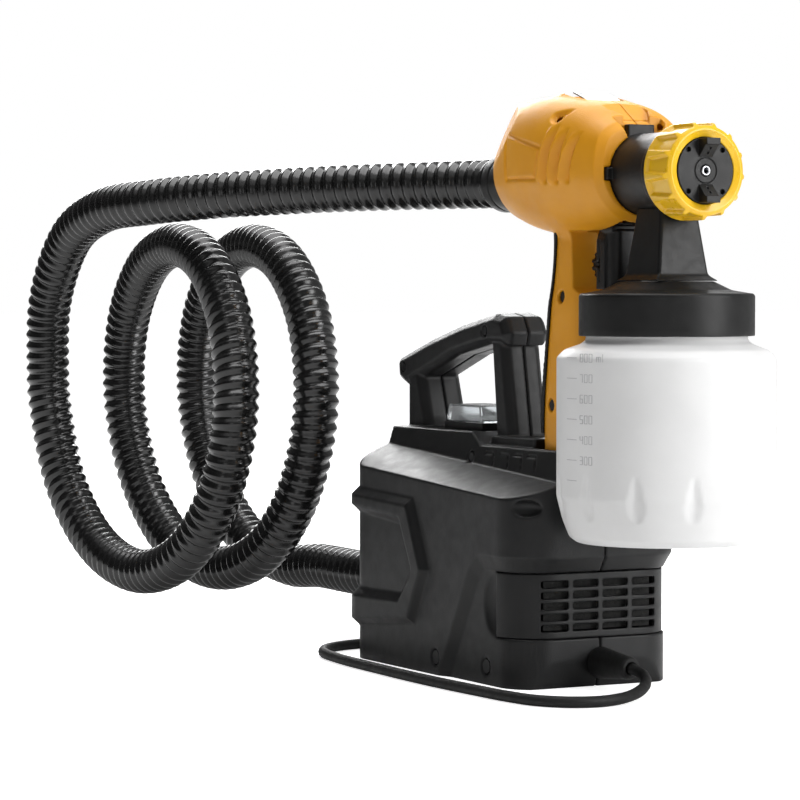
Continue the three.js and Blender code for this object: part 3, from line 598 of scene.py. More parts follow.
def hose_surface(along, angle):
    phase = along / RIB_PITCH - angle / (2 * np.pi)
    wave = 0.5 + 0.5 * np.cos(2 * np.pi * phase)
    return HOSE["radius"] - 2.1 + 2.0 * wave ** 0.8


hose_line, hose_length = through(hose_route(), RIB_PITCH / (8))
hose = tube("hose_ribbed", hose_line, 34, hose_surface)
finished(hose, "hose_plastic", nodes=("hose",))
hose.parent = None
hose.matrix_world.identity()
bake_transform(hose)

cord_line, cord_length = through(cord_route(), 1.5)
cord = tube("mains_cord", cord_line, 12, lambda along, angle: CORD_RADIUS + 0 * along)
finished(cord, "rubber", nodes=("power_cord", "cord_coil", "cord_tail"))


# ---------- gun casing ----------
GUN_TABLE = spread([[GUN_REAR, 14, 258, 286], [-34, 18.5, 254, 296], [-28, 24, 250.5, 305],
                    [-16, 30.5, 247, 312.5],
                    [2, 36, 243, 315], [25, 38, 240.5, 315.5], [48, 37.5, 240, 312.5], [70, 33.5, 243, 307],
                    [86, 29, 246.5, 299.5], [96, 27.5, 248, 296]])
HANDLE_TABLE = spread([[98, 0.4, 41, 15.5], [128, 5, 44.6, 16.5], [140, 4.7, 46, 17.2], [170, 8.5, 49, 18],
                       [190, 11.5, 50, 18], [207, 14.5, 51.5, 18], [213, 15.5, 52, 17.5], [236, 18, 54, 17],
                       [262, 14, 56, 17]])


def rounded_section(u, v, half_u, half_v, power):
    """Distance to a section between an ellipse and a box."""
    a, b = np.abs(u) / half_u, np.abs(v) / half_v
    total = a ** power + b ** power + 1e-9
    g = total ** (1 / power)
    du = (a + 1e-9) ** (power - 1) / half_u
    dv = (b + 1e-9) ** (power - 1) / half_v
    return (g - 1) / (total ** (1 / power - 1) * np.hypot(du, dv) + 1e-6)


def gun_body(p):
    x = np.clip(p[0], GUN_REAR, 96)
    half, low, high = (np.interp(x, GUN_TABLE[0], column) for column in GUN_TABLE[1:])
    flare = np.interp(x, [GUN_REAR, -30, -16, 0], [0.45, 0.6, 0.88, 1])
    middle_z = (low + high) / 2
    power = 2.1 + 0.9 * ramped(p[2], 262, 292)
    return rounded_section(p[1], p[2] - middle_z, half, (high - low) / 2, power) * flare


def gun_handle(p, inset=0.0):
    z = np.clip(p[2], 98, 262)
    rear, front, half = (np.interp(z, HANDLE_TABLE[0], column) for column in HANDLE_TABLE[1:])
    return rounded_section(p[0] - (rear + front) / 2, p[1], (front - rear) / 2, half, 3) + inset


def ramp_z(x):
    return 317 + (x - 33) * (304 - 317) / (71 - 33)


def gun_hump(p):
    top = np.minimum(318.2, ramp_z(p[0]))
    flank = (np.abs(p[1]) - 12.2 - 0.04 * (p[0] - 28) - 0.9 * (top - p[2])) / 1.35
    rear = (1.25 * (22 - p[0]) + (p[2] - 311)) / 1.6
    return every(0.8, flank, rear, p[2] - 318.2, (p[2] - ramp_z(p[0])) * 0.946, p[0] - 80, 302 - p[2])


RIBS = [((297, 52), (284.5, 47), (268, 44)), ((295, 59.5), (282.5, 55), (267.5, 53)),
        ((292.8, 69), (281, 64), (267.7, 61.5))]


def rib_relief(x, z):
    """Depth of the three ridged grips below the gun's side: negative where they stand out."""
    depth = np.zeros(x.shape)
    for (z_top, x_top), (z_mid, x_mid), (z_low, x_low) in RIBS:
        t = (z - z_low) / (z_top - z_low)
        bend = x_mid - (x_low + (x_top - x_low) * (z_mid - z_low) / (z_top - z_low))
        centre = x_low + (x_top - x_low) * t + bend * 4 * np.clip(t * (1 - t), 0, 1)
        u = x - centre
        shape = np.where(u < 0, -2 * ramped(u, -2.2, -0.3), -2 + 4.6 * np.clip(u / 4.6, 0, 1))
        shape = np.where(u > 4.6, 2.6 * (1 - ramped(u, 4.6, 6)), shape)
        ends = ramped(z, z_low - 1.5, z_low + 2) * np.clip((z_top + 1 - z) / 11, 0, 1) ** 0.7
        depth = depth + np.where((u > -2.2) & (u < 6), shape * ends, 0)
    return depth


FRAME_CORNERS = [(5.7, 295.3), (43, 286.6), (38.4, 270.2), (6.4, 270.8)]
GUN_SCREWS = [(33, 208), (22, 150)]


def key_slots(p):
    return every(0.3, slab(p[0], 82.5, 95), np.abs(p[1]) - 24.8, slab(p[2], NOZZLE_Z - 3.5, NOZZLE_Z + 3.5))


def gun_casing(p, side):
    """Half of the gun's casing: side is -1 for the right half and 1 for the left."""
    x, y, z = p
    ay = np.abs(y)
    body, handle, hump = gun_body(p), gun_handle(p), gun_hump(p)
    sideways = ramped(ay, 20, 27)
    panel = outline(x, z, FRAME_CORNERS)
    groove = 0.9 * (1 - ramped(np.abs(panel), 0.5, 1.5)) + 0.35 * (1 - ramped(panel, -0.4, 0.4))
    relief = (rib_relief(x, z) + groove) * sideways
    sides = body + relief
    # The front edge is bevelled, and the handle and the raised block run into the body.
    outer = smooth_min(chamfer_max(sides, x - GUN_FRONT, 3.4), smooth_max(handle, z - 270, 0.5), 6)
    outer = smooth_min(outer, hump, 2.2)
    scoop = capsule([x, ay, z], (52, 33, 303.5), (63, 22.5, 309.5), 5, 0.5)
    outer = cut(outer, scoop, 0.7)
    # Flat facet between two fold lines, from the rear end up to the grips.
    rear_facet = -0.405 * (x + 23) + 0.833 * (ay - 13) + 0.377 * (z - 311.8)
    outer = smooth_max(outer, rear_facet, 0.8)
    front_strip = handle_front(p)
    outer = cut(outer, front_strip, 0.8)
    room_body = every(0.6, body + 2.9, rear_facet + 3.2, x - GUN_FRONT + 4,
                      np.where(ay < 16, z - ramp_z(x) + 2.8, -9),
                      -every(0.4, 77 - x, ay - 13, 282 - z), GUN_REAR + 3 - x)
    room_handle = every(0.6, gun_handle(p, 3.2), 101 - z, x - np.where((z > 206) & (z < 246), 39, 80))
    room = smooth_min(room_body, room_handle, 1.5)
    shell = cut(outer, room, 0.4)
    notch = every(0.3, 79.7 - x, ay - 10 - 0.55 * np.clip(z - 290, 0, 9), 286 - z)
    facet = every(0.3, 304 - (x - 71) * 0.667 - z, 60 - x, ay - 12 + 0.5 * np.clip(x - 71, 0, 9))
    shell = cut(shell, facet, 0.3)
    shell = cut(shell, notch, 0.3)
    shell = cut(shell, every(0.2, np.abs(y) - 11.1, slab(x, 33.3, 46.6), ramp_z(x) - 0.9 - z), 0.2)
    shell = cut(shell, every(0.2, cylinder_x(p, 0, NOZZLE_Z, 15), x + 20), 0.3)
    shell = cut(shell, every(0.2, cylinder_x(p, 0, NOZZLE_Z, BARREL_RADIUS + 0.4), 76 - x), 0.4)
    shell = cut(shell, key_slots(p), 0.3)
    shell = cut(shell, block(p, 47, 84, -10, 10, 228, 250, 0.5), 0.4)
    for sx, sz in GUN_SCREWS:
        hole = every(0.3, cylinder_y(p, sx, sz, 3.6), y + 13.4)
        shell = cut(shell, hole, 0.5)
    shell = smooth_max(shell, x - GUN_FRONT, 0.2)
    seam = chamfer_max(shell, SEAM - side * y, 0.35, 0.1)
    return smooth_max(seam, 98 - z, 0.6)


def handle_front(p):
    """Flat recess down the front of the handle, with a step at its lower end."""
    rear_line = np.interp(p[2], [206, 213, 236, 262], [52, 43, 42, 42])
    return every(0.8, rear_line - p[0], np.abs(p[1]) - 20, slab(p[2], 209, 243))


for side, name in ((-1, "gun_shell_right"), (1, "gun_shell_left")):
    y_low, y_high = (-41, 1) if side < 0 else (-1, 41)
    piece = solid(name + "_moulded", lambda p, side=side: gun_casing(p, side), (-38, y_low, 96),
                  (90, y_high, 320), 0.8)
    finished(piece, "gun_yellow", nodes=(name,))


# ---------- base casing ----------
PLATFORM_TOP = 133
RIB_POINTS = [(-152, 84), (-152, 92), (-140, 98), (-68, 95), (-50, 57), (-66, 27), (-140, 20), (-152, 28),
              (-152, 37), (-138, 40), (-80, 41), (-67, 57), (-80, 82), (-138, 86)]
GRIP_POINTS = [(-160, 160), (-161, 172), (-122, 183.5), (-84, 192.5), (-47, 199), (-36, 197), (-31, 188),
               (-33, 181),
               (-54, 181.5), (-92, 175), (-128, 163), (-150, 156)]
REAR_LEG = [(-149, 116), (-149, 166), (-133, 166), (-124, 140), (-119, 116)]
FRONT_LEG = [(-46, 110), (-54, 186), (-38, 186), (-24.5, 110)]
SCREW_SPOTS = [(-42, 10, -53, 4.5), (9, 10, -50, 4.5), (-56, 189, -14.5, 3.2), (-152, 167, -14.5, 3.2),
               (-50, 119, -26, 3.4)]
VENT = {"bottom": 26.6, "top": 61.8, "rear": 20, "columns": 4, "pitch_y": 18.4, "pitch_z": 5.85}


def base_roof(p, inset):
    x, ay, z = p[0], np.abs(p[1]), p[2]
    t = (x + 146) / 196
    wall_top = 112 - 12 * t - inset
    shoulder_top = 123 - 13.5 * t - inset
    rise = (shoulder_top - wall_top) / 26
    shoulder = (z - wall_top - (53 - ay) * rise) / np.sqrt(1 + rise ** 2)
    top = PLATFORM_TOP - 7 * np.clip((x + 56) / 13, 0, 1) - inset
    platform = every(0.8, (z - top) * 0.9, (ay - 27 + inset + (z - shoulder_top) * 0.3) * 0.95)
    return smooth_min(shoulder, platform, 0.7)


def dock(p, x0, x1, half, z0, z1, r=0.8):
    u = p[0] - 0.14 * (p[2] - 131)
    return every(r, slab(u, x0, x1) * 0.99, np.abs(p[1]) - half, slab(p[2], z0, z1))


def bar(p, points, half, bevel):
    return chamfer_max(outline(p[0], p[2], points), np.abs(p[1]) - half, bevel, 0.8)


def base_casing(p, side):
    x, y, z = p
    ay = np.abs(y)
    roof = base_roof(p, 0)
    plan = rounded_plan(p, -146, 50, 53, 18, 25)
    # The low front stands back behind a slanted band.
    low_front = outline(x, z, [(-52, -40), (2, 57), (8, 62), (45, 62), (90, 62), (90, -40)])
    step_in = (3.1 + 2.2 * ramped(x, 22, 46)) * (1 - np.clip(low_front / 8, 0, 1))
    hull = every(0.6, plan + step_in, roof)
    rib = every(0.8, outline(x, z, RIB_POINTS) - 1, rounded_plan(p, -151.5, 50, 57, 22, 25), 44 - ay)
    rib = smooth_max(rib, (outline(x, z, RIB_POINTS) - 1 + rounded_plan(p, -151.5, 50, 57, 22,
                                                                        25) + 4.2) * 0.70711, 0.3)
    hull = smooth_min(hull, rib, 0.5)
    hull = cut(hull, z, 0.8)
    cavity = every(0.8, rounded_plan(p, -143, 39.6, 44.8, 16, 20), base_roof(p, 3), 3 - z)
    shell = cut(hull, cavity, 0.4)
    plinth = every(0.8, convex(x, z, [(-48, 112), (53, 112), (46, 131), (-44, 131)]), ay - 16.5, x - 50)
    handle = smooth_min(bar(p, GRIP_POINTS, 14.5, 4), bar(p, FRONT_LEG, 12.5, 4), 1.2)
    handle = smooth_min(handle, bar(p, REAR_LEG, 14, 4), 1.2)
    underside = smooth_max(handle, 112 - z, 0.4)
    shell = smooth_min(smooth_min(shell, plinth, 0.7), underside, 1.0)
    shell = smooth_min(shell, smooth_max(dock(p, 1.5, 49.5, 21, 92, 126), x - 50, 0.4), 0.7)
    shell = cut(shell, dock(p, 4.2, 46.8, 18.3, 96, 140), 0.4)
    shell = smooth_max(shell, x - 50, 0.3)
    shell = smooth_max(shell, (x - 40.5 - 0.3 * z) * 0.958, 0.4)
    thumb = (np.sqrt(((x - 20) / 12.5) ** 2 + ((z - 44) / 17) ** 2 + ((ay - 50.4) / 3.4) ** 2) - 1) * 3.4
    shell = cut(shell, thumb, 0.5)
    rim = every(0.3, rounded_plan(p, -166, 65, 70, 5, 25), slab(z, VENT["bottom"], VENT["top"]),
                VENT["rear"] - x)
    seat = cut(rim, rounded_plan(p, -196, 42.6, 47.6, 5, 22.6), 0.2)
    shell = cut(shell, seat, 0.2)
    shell = cut(shell, block(p, 37, 47, -36, 36, 30.6, 57.8), 0.3)
    shell = cut(shell, block(p, -100, -60, -10, 10, 120, 140), 0.3)
    shell = cut(shell, every(0.3, cylinder_x(p, 0, PORT_Z, 15), x + 134), 0.4)
    shell = cut(shell, every(0.3, cylinder_x(p, 0, CORD_Z, 6), 30 - x), 0.3)
    if side < 0:
        for sx, sz, sy, radius in SCREW_SPOTS:
            shell = cut(shell, every(0.3, cylinder_y(p, sx, sz, radius), slab(y, sy - 5, sy + 2.5)), 0.5)
        across = (x - 43.5) * 0.62 + (y + 45.5) * 0.78
        into = (x - 43.5) * 0.78 - (y + 45.5) * 0.62
        boss = (np.sqrt((across / 9) ** 2 + ((z - 96.5) / 4.6) ** 2 + (into / 4.5) ** 2) - 1) * 4.4
        shell = cut(shell, boss, 0.5)
    # Four angle marks pressed into the side of the raised block.
    block_side = ay - 27 + 0.3 * (z - 123 + 13.5 * (x + 146) / 196)
    for u0 in (-36, -20.6, -6.4, 8.2):
        mark = np.minimum(every(0.2, slab(x, u0, u0 + 9.6), slab(z, 121.5, 122.4)),
                          every(0.2, slab(x - 0.32 * (122 - z), u0 + 8.8, u0 + 9.7), slab(z, 114.6, 122.4)))
        shell = cut(shell, every(0.1, mark, -0.9 - block_side, ay - 30), 0.15)
    return chamfer_max(shell, SEAM - side * y, 0.35, 0.1)


for side, name in ((-1, "base_shell_right"), (1, "base_shell_left")):
    y_low, y_high = (-57, 1) if side < 0 else (-1, 57)
    piece = solid(name + "_moulded", lambda p, side=side: base_casing(p, side), (-163, y_low, -1),
                  (51, y_high, 201), 1.12)
    finished(piece, "casing", nodes=(name,))


# ---------- intake cover ----------
def vent_cover(p):
    z_low, z_high = VENT["bottom"] + 0.3, VENT["top"] - 0.3
    plate = every(0.7, rounded_plan(p, -155, 45, 50, 5, 25), slab(p[2], z_low, z_high),
                  VENT["rear"] + 0.3 - p[0])
    plate = cut(plate, rounded_plan(p, -175, 42.9, 47.9, 5, 22.9), 0.3)
    middle_z = (z_low + z_high) / 2
    column = np.clip(np.round(p[1] / VENT["pitch_y"] + 1.5), 0, VENT["columns"] - 1) - 1.5
    row = np.clip(np.round((p[2] - middle_z) / VENT["pitch_z"]), -2, 2)
    dy = np.abs(p[1] - column * VENT["pitch_y"]) - 7.85
    dz = np.abs(p[2] - middle_z - row * VENT["pitch_z"]) - 1.85
    slot = smooth_max(dy, dz, 1.4)
    plate = cut(plate, every(0.3, slot, 30 - p[0]), 0.5)
    return plate


finished(solid("vent_cover_moulded", vent_cover, (19, -51, 25), (46, 51, 63), 0.55), "casing",
         nodes=("vent_cover",))


# ---------- cup, lid and scale ----------
def smoothed(points, spacing=1.2, corner=1.2):
    """Closed profile with its corners rounded and its long sides divided."""
    result = []
    count = len(points)
    for i in range(count):
        a, b, c = (np.array(points[(i + k) % count], float) for k in (-1, 0, 1))
        back, on = a - b, c - b
        cut_back = min(corner, 0.45 * np.linalg.norm(back))
        cut_on = min(corner, 0.45 * np.linalg.norm(on))
        start, end = b + back / np.linalg.norm(back) * cut_back, b + on / np.linalg.norm(on) * cut_on
        for t in (0, 0.25, 0.5, 0.75, 1):
            result.append((1 - t) ** 2 * start + 2 * t * (1 - t) * b + t * t * end)
        last = c - on / np.linalg.norm(on) * cut_on
        steps = int(np.linalg.norm(last - end) / spacing)
        for k in range(1, steps):
            result.append(end + (last - end) * k / steps)
    return result


def cup_profile(radius, bottom, shoulder, neck, rim):
    """Outside from the foot up to the rim, then down the inside."""
    return [(0.05, bottom + 3), (38, bottom + 2), (42, bottom), (46, bottom), (50, bottom + 3),
            (53.5, bottom + 12), (radius, bottom + 24), (radius, shoulder - 4), (radius - 4, shoulder),
            (44, shoulder + 3), (neck, shoulder + 5), (neck, rim), (neck - 1.8, rim),
            (neck - 1.8, shoulder + 3.4), (radius - 5, shoulder - 2), (radius - 1.8, shoulder - 5),
            (radius - 1.8, bottom + 24.5), (51.8, bottom + 13), (48.6, bottom + 4.8), (45, bottom + 1.9),
            (42.5, bottom + 1.9), (38.5, bottom + 4), (0.05, bottom + 5)]


cup = turned("paint_cup", smoothed(cup_profile(**CUP), 1.1, 1.5), segments=224)


def press_dimples(piece):
    """Presses a row of drop shapes into the wall above the cup's slanted lower edge."""
    mesh = piece.data
    points = np.empty(len(mesh.vertices) * 3, np.float32)
    mesh.vertices.foreach_get("co", points)
    points = points.reshape(-1, 3).astype(float)
    x, y, z = points[:, 0] / MM - SHIFT - CUP_X, points[:, 1] / MM, points[:, 2] / MM
    radius = np.hypot(x, y)
    angle = np.degrees(np.arctan2(y, x))
    nearest = (angle + 18.5 + 15) % 30 - 15
    across = nearest / 4.6
    height = z - (CUP["bottom"] + 22)
    shape = np.where(height < 0, (height / 9.5) ** 2, (height / 15) ** 2) + across ** 2
    narrowing = np.where(height > 0, across ** 2 * 2.4 * height / 15, 0)
    depth = 1.5 * np.clip(1 - shape - narrowing, 0, 1) ** 0.8
    wall = (radius > 46) & (z < CUP["bottom"] + 40) & (z > CUP["bottom"] + 8)
    scale = np.where(wall, (radius - depth) / np.maximum(radius, 1), 1)
    points[:, 0] = (x * scale + CUP_X + SHIFT) * MM
    points[:, 1] = y * scale * MM
    mesh.vertices.foreach_set("co", points.astype(np.float32).ravel())
    mesh.update()


press_dimples(cup)
finished(cup, "cup_plastic", nodes=("cup",))

TICK_GAP = 10.35
TOP_TICK = 177.3
DIGITS = {"0": "abcdef", "3": "abgcd", "4": "fgbc", "5": "afgcd", "6": "afgedc", "7": "abc", "8": "abcdefg"}
STROKES = {"a": (0, 2, 1, 2), "b": (1, 1, 1, 2), "c": (1, 0, 1, 1), "d": (0, 0, 1, 0), "e": (0, 0, 0, 1),
           "f": (0, 1, 0, 2), "g": (0, 1, 1, 1)}


def scale_marks():
    """Thin raised lines on the cup's wall: a line each 100 ml and, beside it, the number."""
    lines = []
    for k in range(7):
        z = TOP_TICK - TICK_GAP * k
        lines.append((-95.5, z, -86, z))
        if k < 6:
            for place, digit in enumerate(f"{800 - 100 * k}"):
                left = -83 + place * 3.4
                for stroke in DIGITS[digit]:
                    a0, z0, a1, z1 = STROKES[stroke]
                    lines.append((left + 2.1 * a0, z - 2 + 2 * z0, left + 2.1 * a1, z - 2 + 2 * z1))
    low, high = TOP_TICK - 2, TOP_TICK + 0.6
    for a0, a1 in ((-71.1, -71.1), (-69.9, -69.9), (-68.7, -68.7)):
        lines.append((a0, low, a1, high))
    lines.append((-71.1, high, -68.7, high))
    lines.append((-67.1, low, -67.1, TOP_TICK + 2))
    points, faces = [], []
    half = 0.16
    for a0, z0, a1, z1 in lines:
        level = abs(z1 - z0) < 0.01
        steps = max(1, int(abs(a1 - a0) / 1.5))
        for i in range(steps + 1):
            angle, z = a0 + (a1 - a0) * i / steps, z0 + (z1 - z0) * i / steps
            da = 0 if level else math.degrees(half / CUP["radius"])
            dz = half if level else 0
            start = len(points)
            for r in (CUP["radius"] - 0.2, CUP["radius"] + 0.12):
                for sign in (-1, 1):
                    turn = math.radians(angle + sign * da)
                    points.append((CUP_X + r * math.cos(turn), r * math.sin(turn), z + sign * dz))
            if i:
                b = start - 4
                faces += [(b, b + 1, start + 1, start), (b + 3, b + 2, start + 2, start + 3),
                          (b + 1, b + 3, start + 3, start + 1), (b + 2, b, start, start + 2)]
            if i in (0, steps):
                faces.append((start, start + 1, start + 3, start + 2))
    return recalculated(mesh_of("cup_scale", points, faces, smooth=False))


finished(scale_marks(), "cup_plastic", body="cup", material="cup_scale")

lid_profile = [(5, LID["top"] - 3.2), (42.4, LID["top"] - 3.2), (42.4, LID["bottom"]),
               (LID["radius"], LID["bottom"]),
               (LID["radius"], LID["top"] - 1.4), (LID["radius"] - 1, LID["top"] - 0.2),
               (LID["radius"] - 3, LID["top"]),
               (33, LID["top"] + 1.6), (24, 216), (5, 216)]
finished(turned("lid_turned", smoothed(lid_profile, 2.5, 0.7), segments=192), "black_plastic",
         nodes=("cup_lid",))


# ---------- feed tower and barrel ----------
def feed_tower(p):
    x, y, z = p[0] - CUP_X, np.abs(p[1]), p[2]
    grow = 0.13 * (258 - z) + 4.6 * (1 - ramped(z, 214.5, 221)) ** 1.5
    sides = every(0.7, (np.abs(x) - 11.2 - grow) * 0.98, (y - 10.4 - grow * 0.95) * 0.98, z - 262, 216.2 - z)
    sides = smooth_max(sides, (np.abs(x) + y - 20.4 - 2 * grow) * 0.70711, 0.5)
    sides = smooth_max(sides, BARREL_RADIUS + 0.3 - np.hypot(p[1], z - NOZZLE_Z), 0.3)
    return smooth_max(sides, 4.4 - np.hypot(x, p[1]), 0.2)


finished(solid("tower_moulded", feed_tower, (85, -23, 215), (133, 23, 263), 0.5), "black_plastic",
         nodes=("feed_tower",))


def barrel(p):
    x, r = p[0], np.hypot(p[1], p[2] - NOZZLE_Z)
    body = every(0.4, r - BARREL_RADIUS, slab(x, 79, 123.6))
    collar = every(0.3, r - BARREL_RADIUS - 0.35, slab(x, 117.5, 123.6))
    neck = every(0.4, r - 20, slab(x, 100, 137))
    outer = smooth_min(smooth_min(body, neck, 0.2), collar, 0.3)
    bore = smooth_min(every(0.2, r - 16, slab(x, 70, 106)), every(0.2, r - 17.6, slab(x, 110, 150)), 0.1)
    outer = cut(outer, bore, 0.3)
    top_key = block(p, 80.2, 84.5, -8, 8, NOZZLE_Z + 14, NOZZLE_Z + 26, 0.5)
    side_key = every(0.4, slab(x, 83, 90), np.abs(p[1]) - 24.3, slab(p[2], NOZZLE_Z - 3, NOZZLE_Z + 3),
                     17 - np.abs(p[1]))
    outer = smooth_min(smooth_min(outer, top_key, 0.5), side_key, 0.5)
    outer = cut(outer, every(0.2, r - 6.3, slab(x, 95, 120)), 0.2)
    return cut(outer, block(p, 70, 105, -14, 14, 258, 285, 0.4), 0.3)


finished(solid("barrel_moulded", barrel, (78, -26, 249), (138, 26, 299), 0.55), "black_plastic",
         nodes=("barrel",))


# ---------- ring nut, air cap and nozzle ----------
def ring_nut(p):
    x, r = p[0], np.hypot(p[1], p[2] - NOZZLE_Z)
    angle = np.arctan2(p[1], p[2] - NOZZLE_Z)
    step = 2 * np.pi / RING["notches"]
    nearest = (angle + step / 2) % step - step / 2
    body = every(0.6, r - 24.9, slab(x, RING["rear"], RING["front"] + 1.6))
    body = smooth_max(body, (x - RING["front"] - 1.6 + (r - 21) * 0.75) * 0.8, 0.8)
    body = smooth_max(body, (RING["rear"] + (r - 23.4) * 1.2 - x) * 0.64, 0.5)
    # Each notch widens towards the front and has slanted ends and sides.
    half = 2.6 + 0.07 * (x - RING["rear"])
    notch = every(0.5, np.abs(nearest) * r - half - 0.7 * (r - 23), (22.9 - r),
                  RING["rear"] + 3.4 + (24 - r) * 0.8 - x)
    body = cut(body, notch, 0.4)
    groove = every(0.3, np.abs(r - 18.4) - 0.35, RING["front"] + 1 - x)
    body = cut(body, groove, 0.3)
    dish = (RING["front"] + 0.2 + (r - 17) * 0.35 - x) * 0.94
    body = cut(body, every(0.4, dish, r - 20.5), 0.3)
    return cut(body, smooth_min(r - RING["lip"], every(0.2, r - 20.4, x - RING["front"] + 2.4), 0.1), 0.3)


finished(solid("ring_nut_moulded", ring_nut, (123, -26, 246), (147, 26, 298), 0.42), "ring_yellow",
         nodes=("ring_nut",))


def air_cap(p):
    x, y, z = p[0], p[1], p[2] - NOZZLE_Z
    az, r = np.abs(z), np.hypot(p[1], z)
    front = RING["front"]
    face = every(0.3, r - 16.7, slab(x, front - 3.2, front + 0.6))
    flange = every(0.2, r - 20, slab(x, front - 5.4, front - 2.8))
    cap = smooth_min(face, flange, 0.2)
    cap = cut(cap, every(0.2, np.abs(r - 6.4) - 0.22, front + 0.1 - x), 0.15)
    # Horns: each leans away from the axis and ends in a stepped block.
    lean = every(0.3, np.abs(y) - 4.1, az - 16.2, 6.2 + (x - front) - az, x - front - 8, front - 3 - x)
    tip = every(0.3, np.abs(y) - 4.1, slab(az, 12.8, 16.2), x - front - 8, front - x)
    cap = smooth_min(smooth_min(cap, lean, 0.2), tip, 0.2)
    hole = np.hypot(np.abs(y) - 10.2, az - 10.5) - 1.25
    cap = cut(cap, every(0.1, hole, front - 1.6 - x), 0.2)
    for v in (8.8, 11):
        jet = np.hypot(y, az - v) - 0.65
        cap = cut(cap, every(0.1, jet, front + v - 7.2 - x), 0.15)
    return cut(cap, r - 3, 0.2)


finished(solid("air_cap_moulded", air_cap, (138, -21, 251), (153, 21, 293), 0.34), "black_plastic",
         nodes=("air_cap",))


def turned_x(name, profile, z, segments=64):
    """Closed profile of (radius, x) points turned about a level axis along X."""
    profile = np.array(profile, float)
    angle = np.linspace(0, 2 * np.pi, segments, endpoint=False)
    r, x = profile[:, 0][:, None], profile[:, 1][:, None]
    points = np.stack([x + 0 * angle, r * np.cos(angle), z + r * np.sin(angle)], axis=2).reshape(-1, 3)
    return recalculated(mesh_of(name, points, grid_faces(len(profile), segments, closed_rows=True)))


nozzle_profile = [(1.4, 112), (6, 112), (6, 120), (4.5, 124), (4.5, 133.5), (2.6, 138), (2.6, 145),
                  (2.2, 145.4),
                  (1.8, 145.4), (1.4, 144.6)]
finished(turned_x("nozzle_turned", smoothed(nozzle_profile, 3, 0.15), NOZZLE_Z), "badge_metal",
         nodes=("fluid_nozzle",))
cuff_profile = [(14.8, 0), (16.5, 0), (16.5, 6.2), (15.9, 6.6), (15.9, 7.8), (16.5, 8.2), (16.5, 19.4),
                (14.8, 19.4)]
for node, start in (("hose_cuff_gun", GUN_REAR - 20), ("hose_cuff_base", BASE["rear"] - 24)):
    profile = [(r, x + start) for r, x in cuff_profile]
    height = NOZZLE_Z if node == "hose_cuff_gun" else PORT_Z
    finished(turned_x(node + "_turned", smoothed(profile, 3, 0.3), height), "black_plastic", nodes=(node,))
relief_profile = [(3.3, 34), (8.5, 34), (8.5, 41.6), (5.6, 41.6), (5.6, 45.3), (8.6, 45.6), (8.2, 49),
                  (6.2, 70),
                  (6.0, 74), (5.2, 76), (3.3, 76)]
finished(turned_x("relief_turned", smoothed(relief_profile, 2, 0.5), CORD_Z), "rubber",
         nodes=("strain_relief",))


# ---------- trigger, flow wheel and grip strip ----------
WHEEL_Z = 225


def trigger(p):
    x, y, z = p[0], p[1], p[2]
    plate = every(0.5, slab(x, 57, 65.5), np.abs(y) - 10.6 + 2.4 * ramped(z, 236, 246), slab(z, 212, 292))
    plate = cut(plate, block(p, 50, 71, -5.5, 5.5, 244, 300, 0.5), 0.3)
    finger = np.hypot(np.maximum(np.abs(y) - 4.5, 0), np.maximum(np.abs(x - 66) - 2.5, 0)) - 5
    finger = every(1.6, finger, slab(z, 210.6, 243.2))
    brow = every(0.8, slab(x, 60, 72), np.abs(y) - 10, slab(z, 242, 245.6))
    neck = every(0.6, slab(x, 61, 68), np.abs(y) - 7.6, slab(z, 240, 256))
    neck = cut(neck, block(p, 50, 71, -5.5, 5.5, 247, 300, 0.5), 0.3)
    lever = smooth_min(smooth_min(smooth_min(plate, finger, 0.6), brow, 0.4), neck, 0.4)
    groove = every(0.2, slab(x, 59.6, 60.4), 9.9 - np.abs(y), slab(z, 216, 238))
    lever = cut(lever, groove, 0.2)
    lever = cut(lever, every(0.3, cylinder_x(p, 0, WHEEL_Z, 10.3), x - 60.5), 0.3)
    return cut(lever, cylinder_y(p, 62, 289, 2.3), 0.2)


finished(solid("trigger_moulded", trigger, (55, -12, 208), (74, 12, 293), 0.45), "black_plastic",
         nodes=("trigger",))


def flow_wheel(p):
    r = np.hypot(p[1], p[2] - WHEEL_Z)
    angle = np.arctan2(p[1], p[2] - WHEEL_Z)
    radius = 9 + 0.55 * np.clip(2.2 * np.cos(14 * angle), -1, 1)
    wheel = every(0.4, (r - radius) * 0.8, slab(p[0], 50.6, 56.4))
    return cut(wheel, every(0.3, np.abs(r - 5.6) - 1.2, 2.2 - np.abs(p[0] - 53.5)), 0.3)


finished(solid("flow_wheel_moulded", flow_wheel, (50, -11, 214), (57, 11, 236), 0.35), "black_plastic",
         nodes=("flow_wheel",))


def grip_strip(p):
    z = p[2]
    outer = gun_handle(p, -1.5)
    step = 1.5 * ramped(z, 172, 173.2) + 1.3 * ramped(z, 206, 207.2)
    shifted = [p[0] + 2.6 + 0.9 * np.cos((z - 140) / 9) * 0.2 - step * 0.35, p[1], z]
    outer = smooth_min(outer, gun_handle(shifted, -0.6), 0.5)
    behind = (p[0] - 13 - 0.14 * (z - 134)) * 0.99
    ribs = 0.35 * np.clip(np.cos(z * 2 * np.pi / 3.4), -0.6, 0.6) * ramped(-p[0], -14 - 0.14 * 90, 0)
    strip = every(0.5, outer + 0.15 + ribs * 0.5, behind, slab(z, 134.5, 248))
    strip = cut(strip, (gun_handle(p, -0.3)), 0.2)
    return cut(strip, gun_body(p) - 0.3, 0.2)


finished(solid("grip_strip_moulded", grip_strip, (-2, -20, 133), (34, 20, 250), 0.5), "rubber",
         nodes=("grip_pad",))


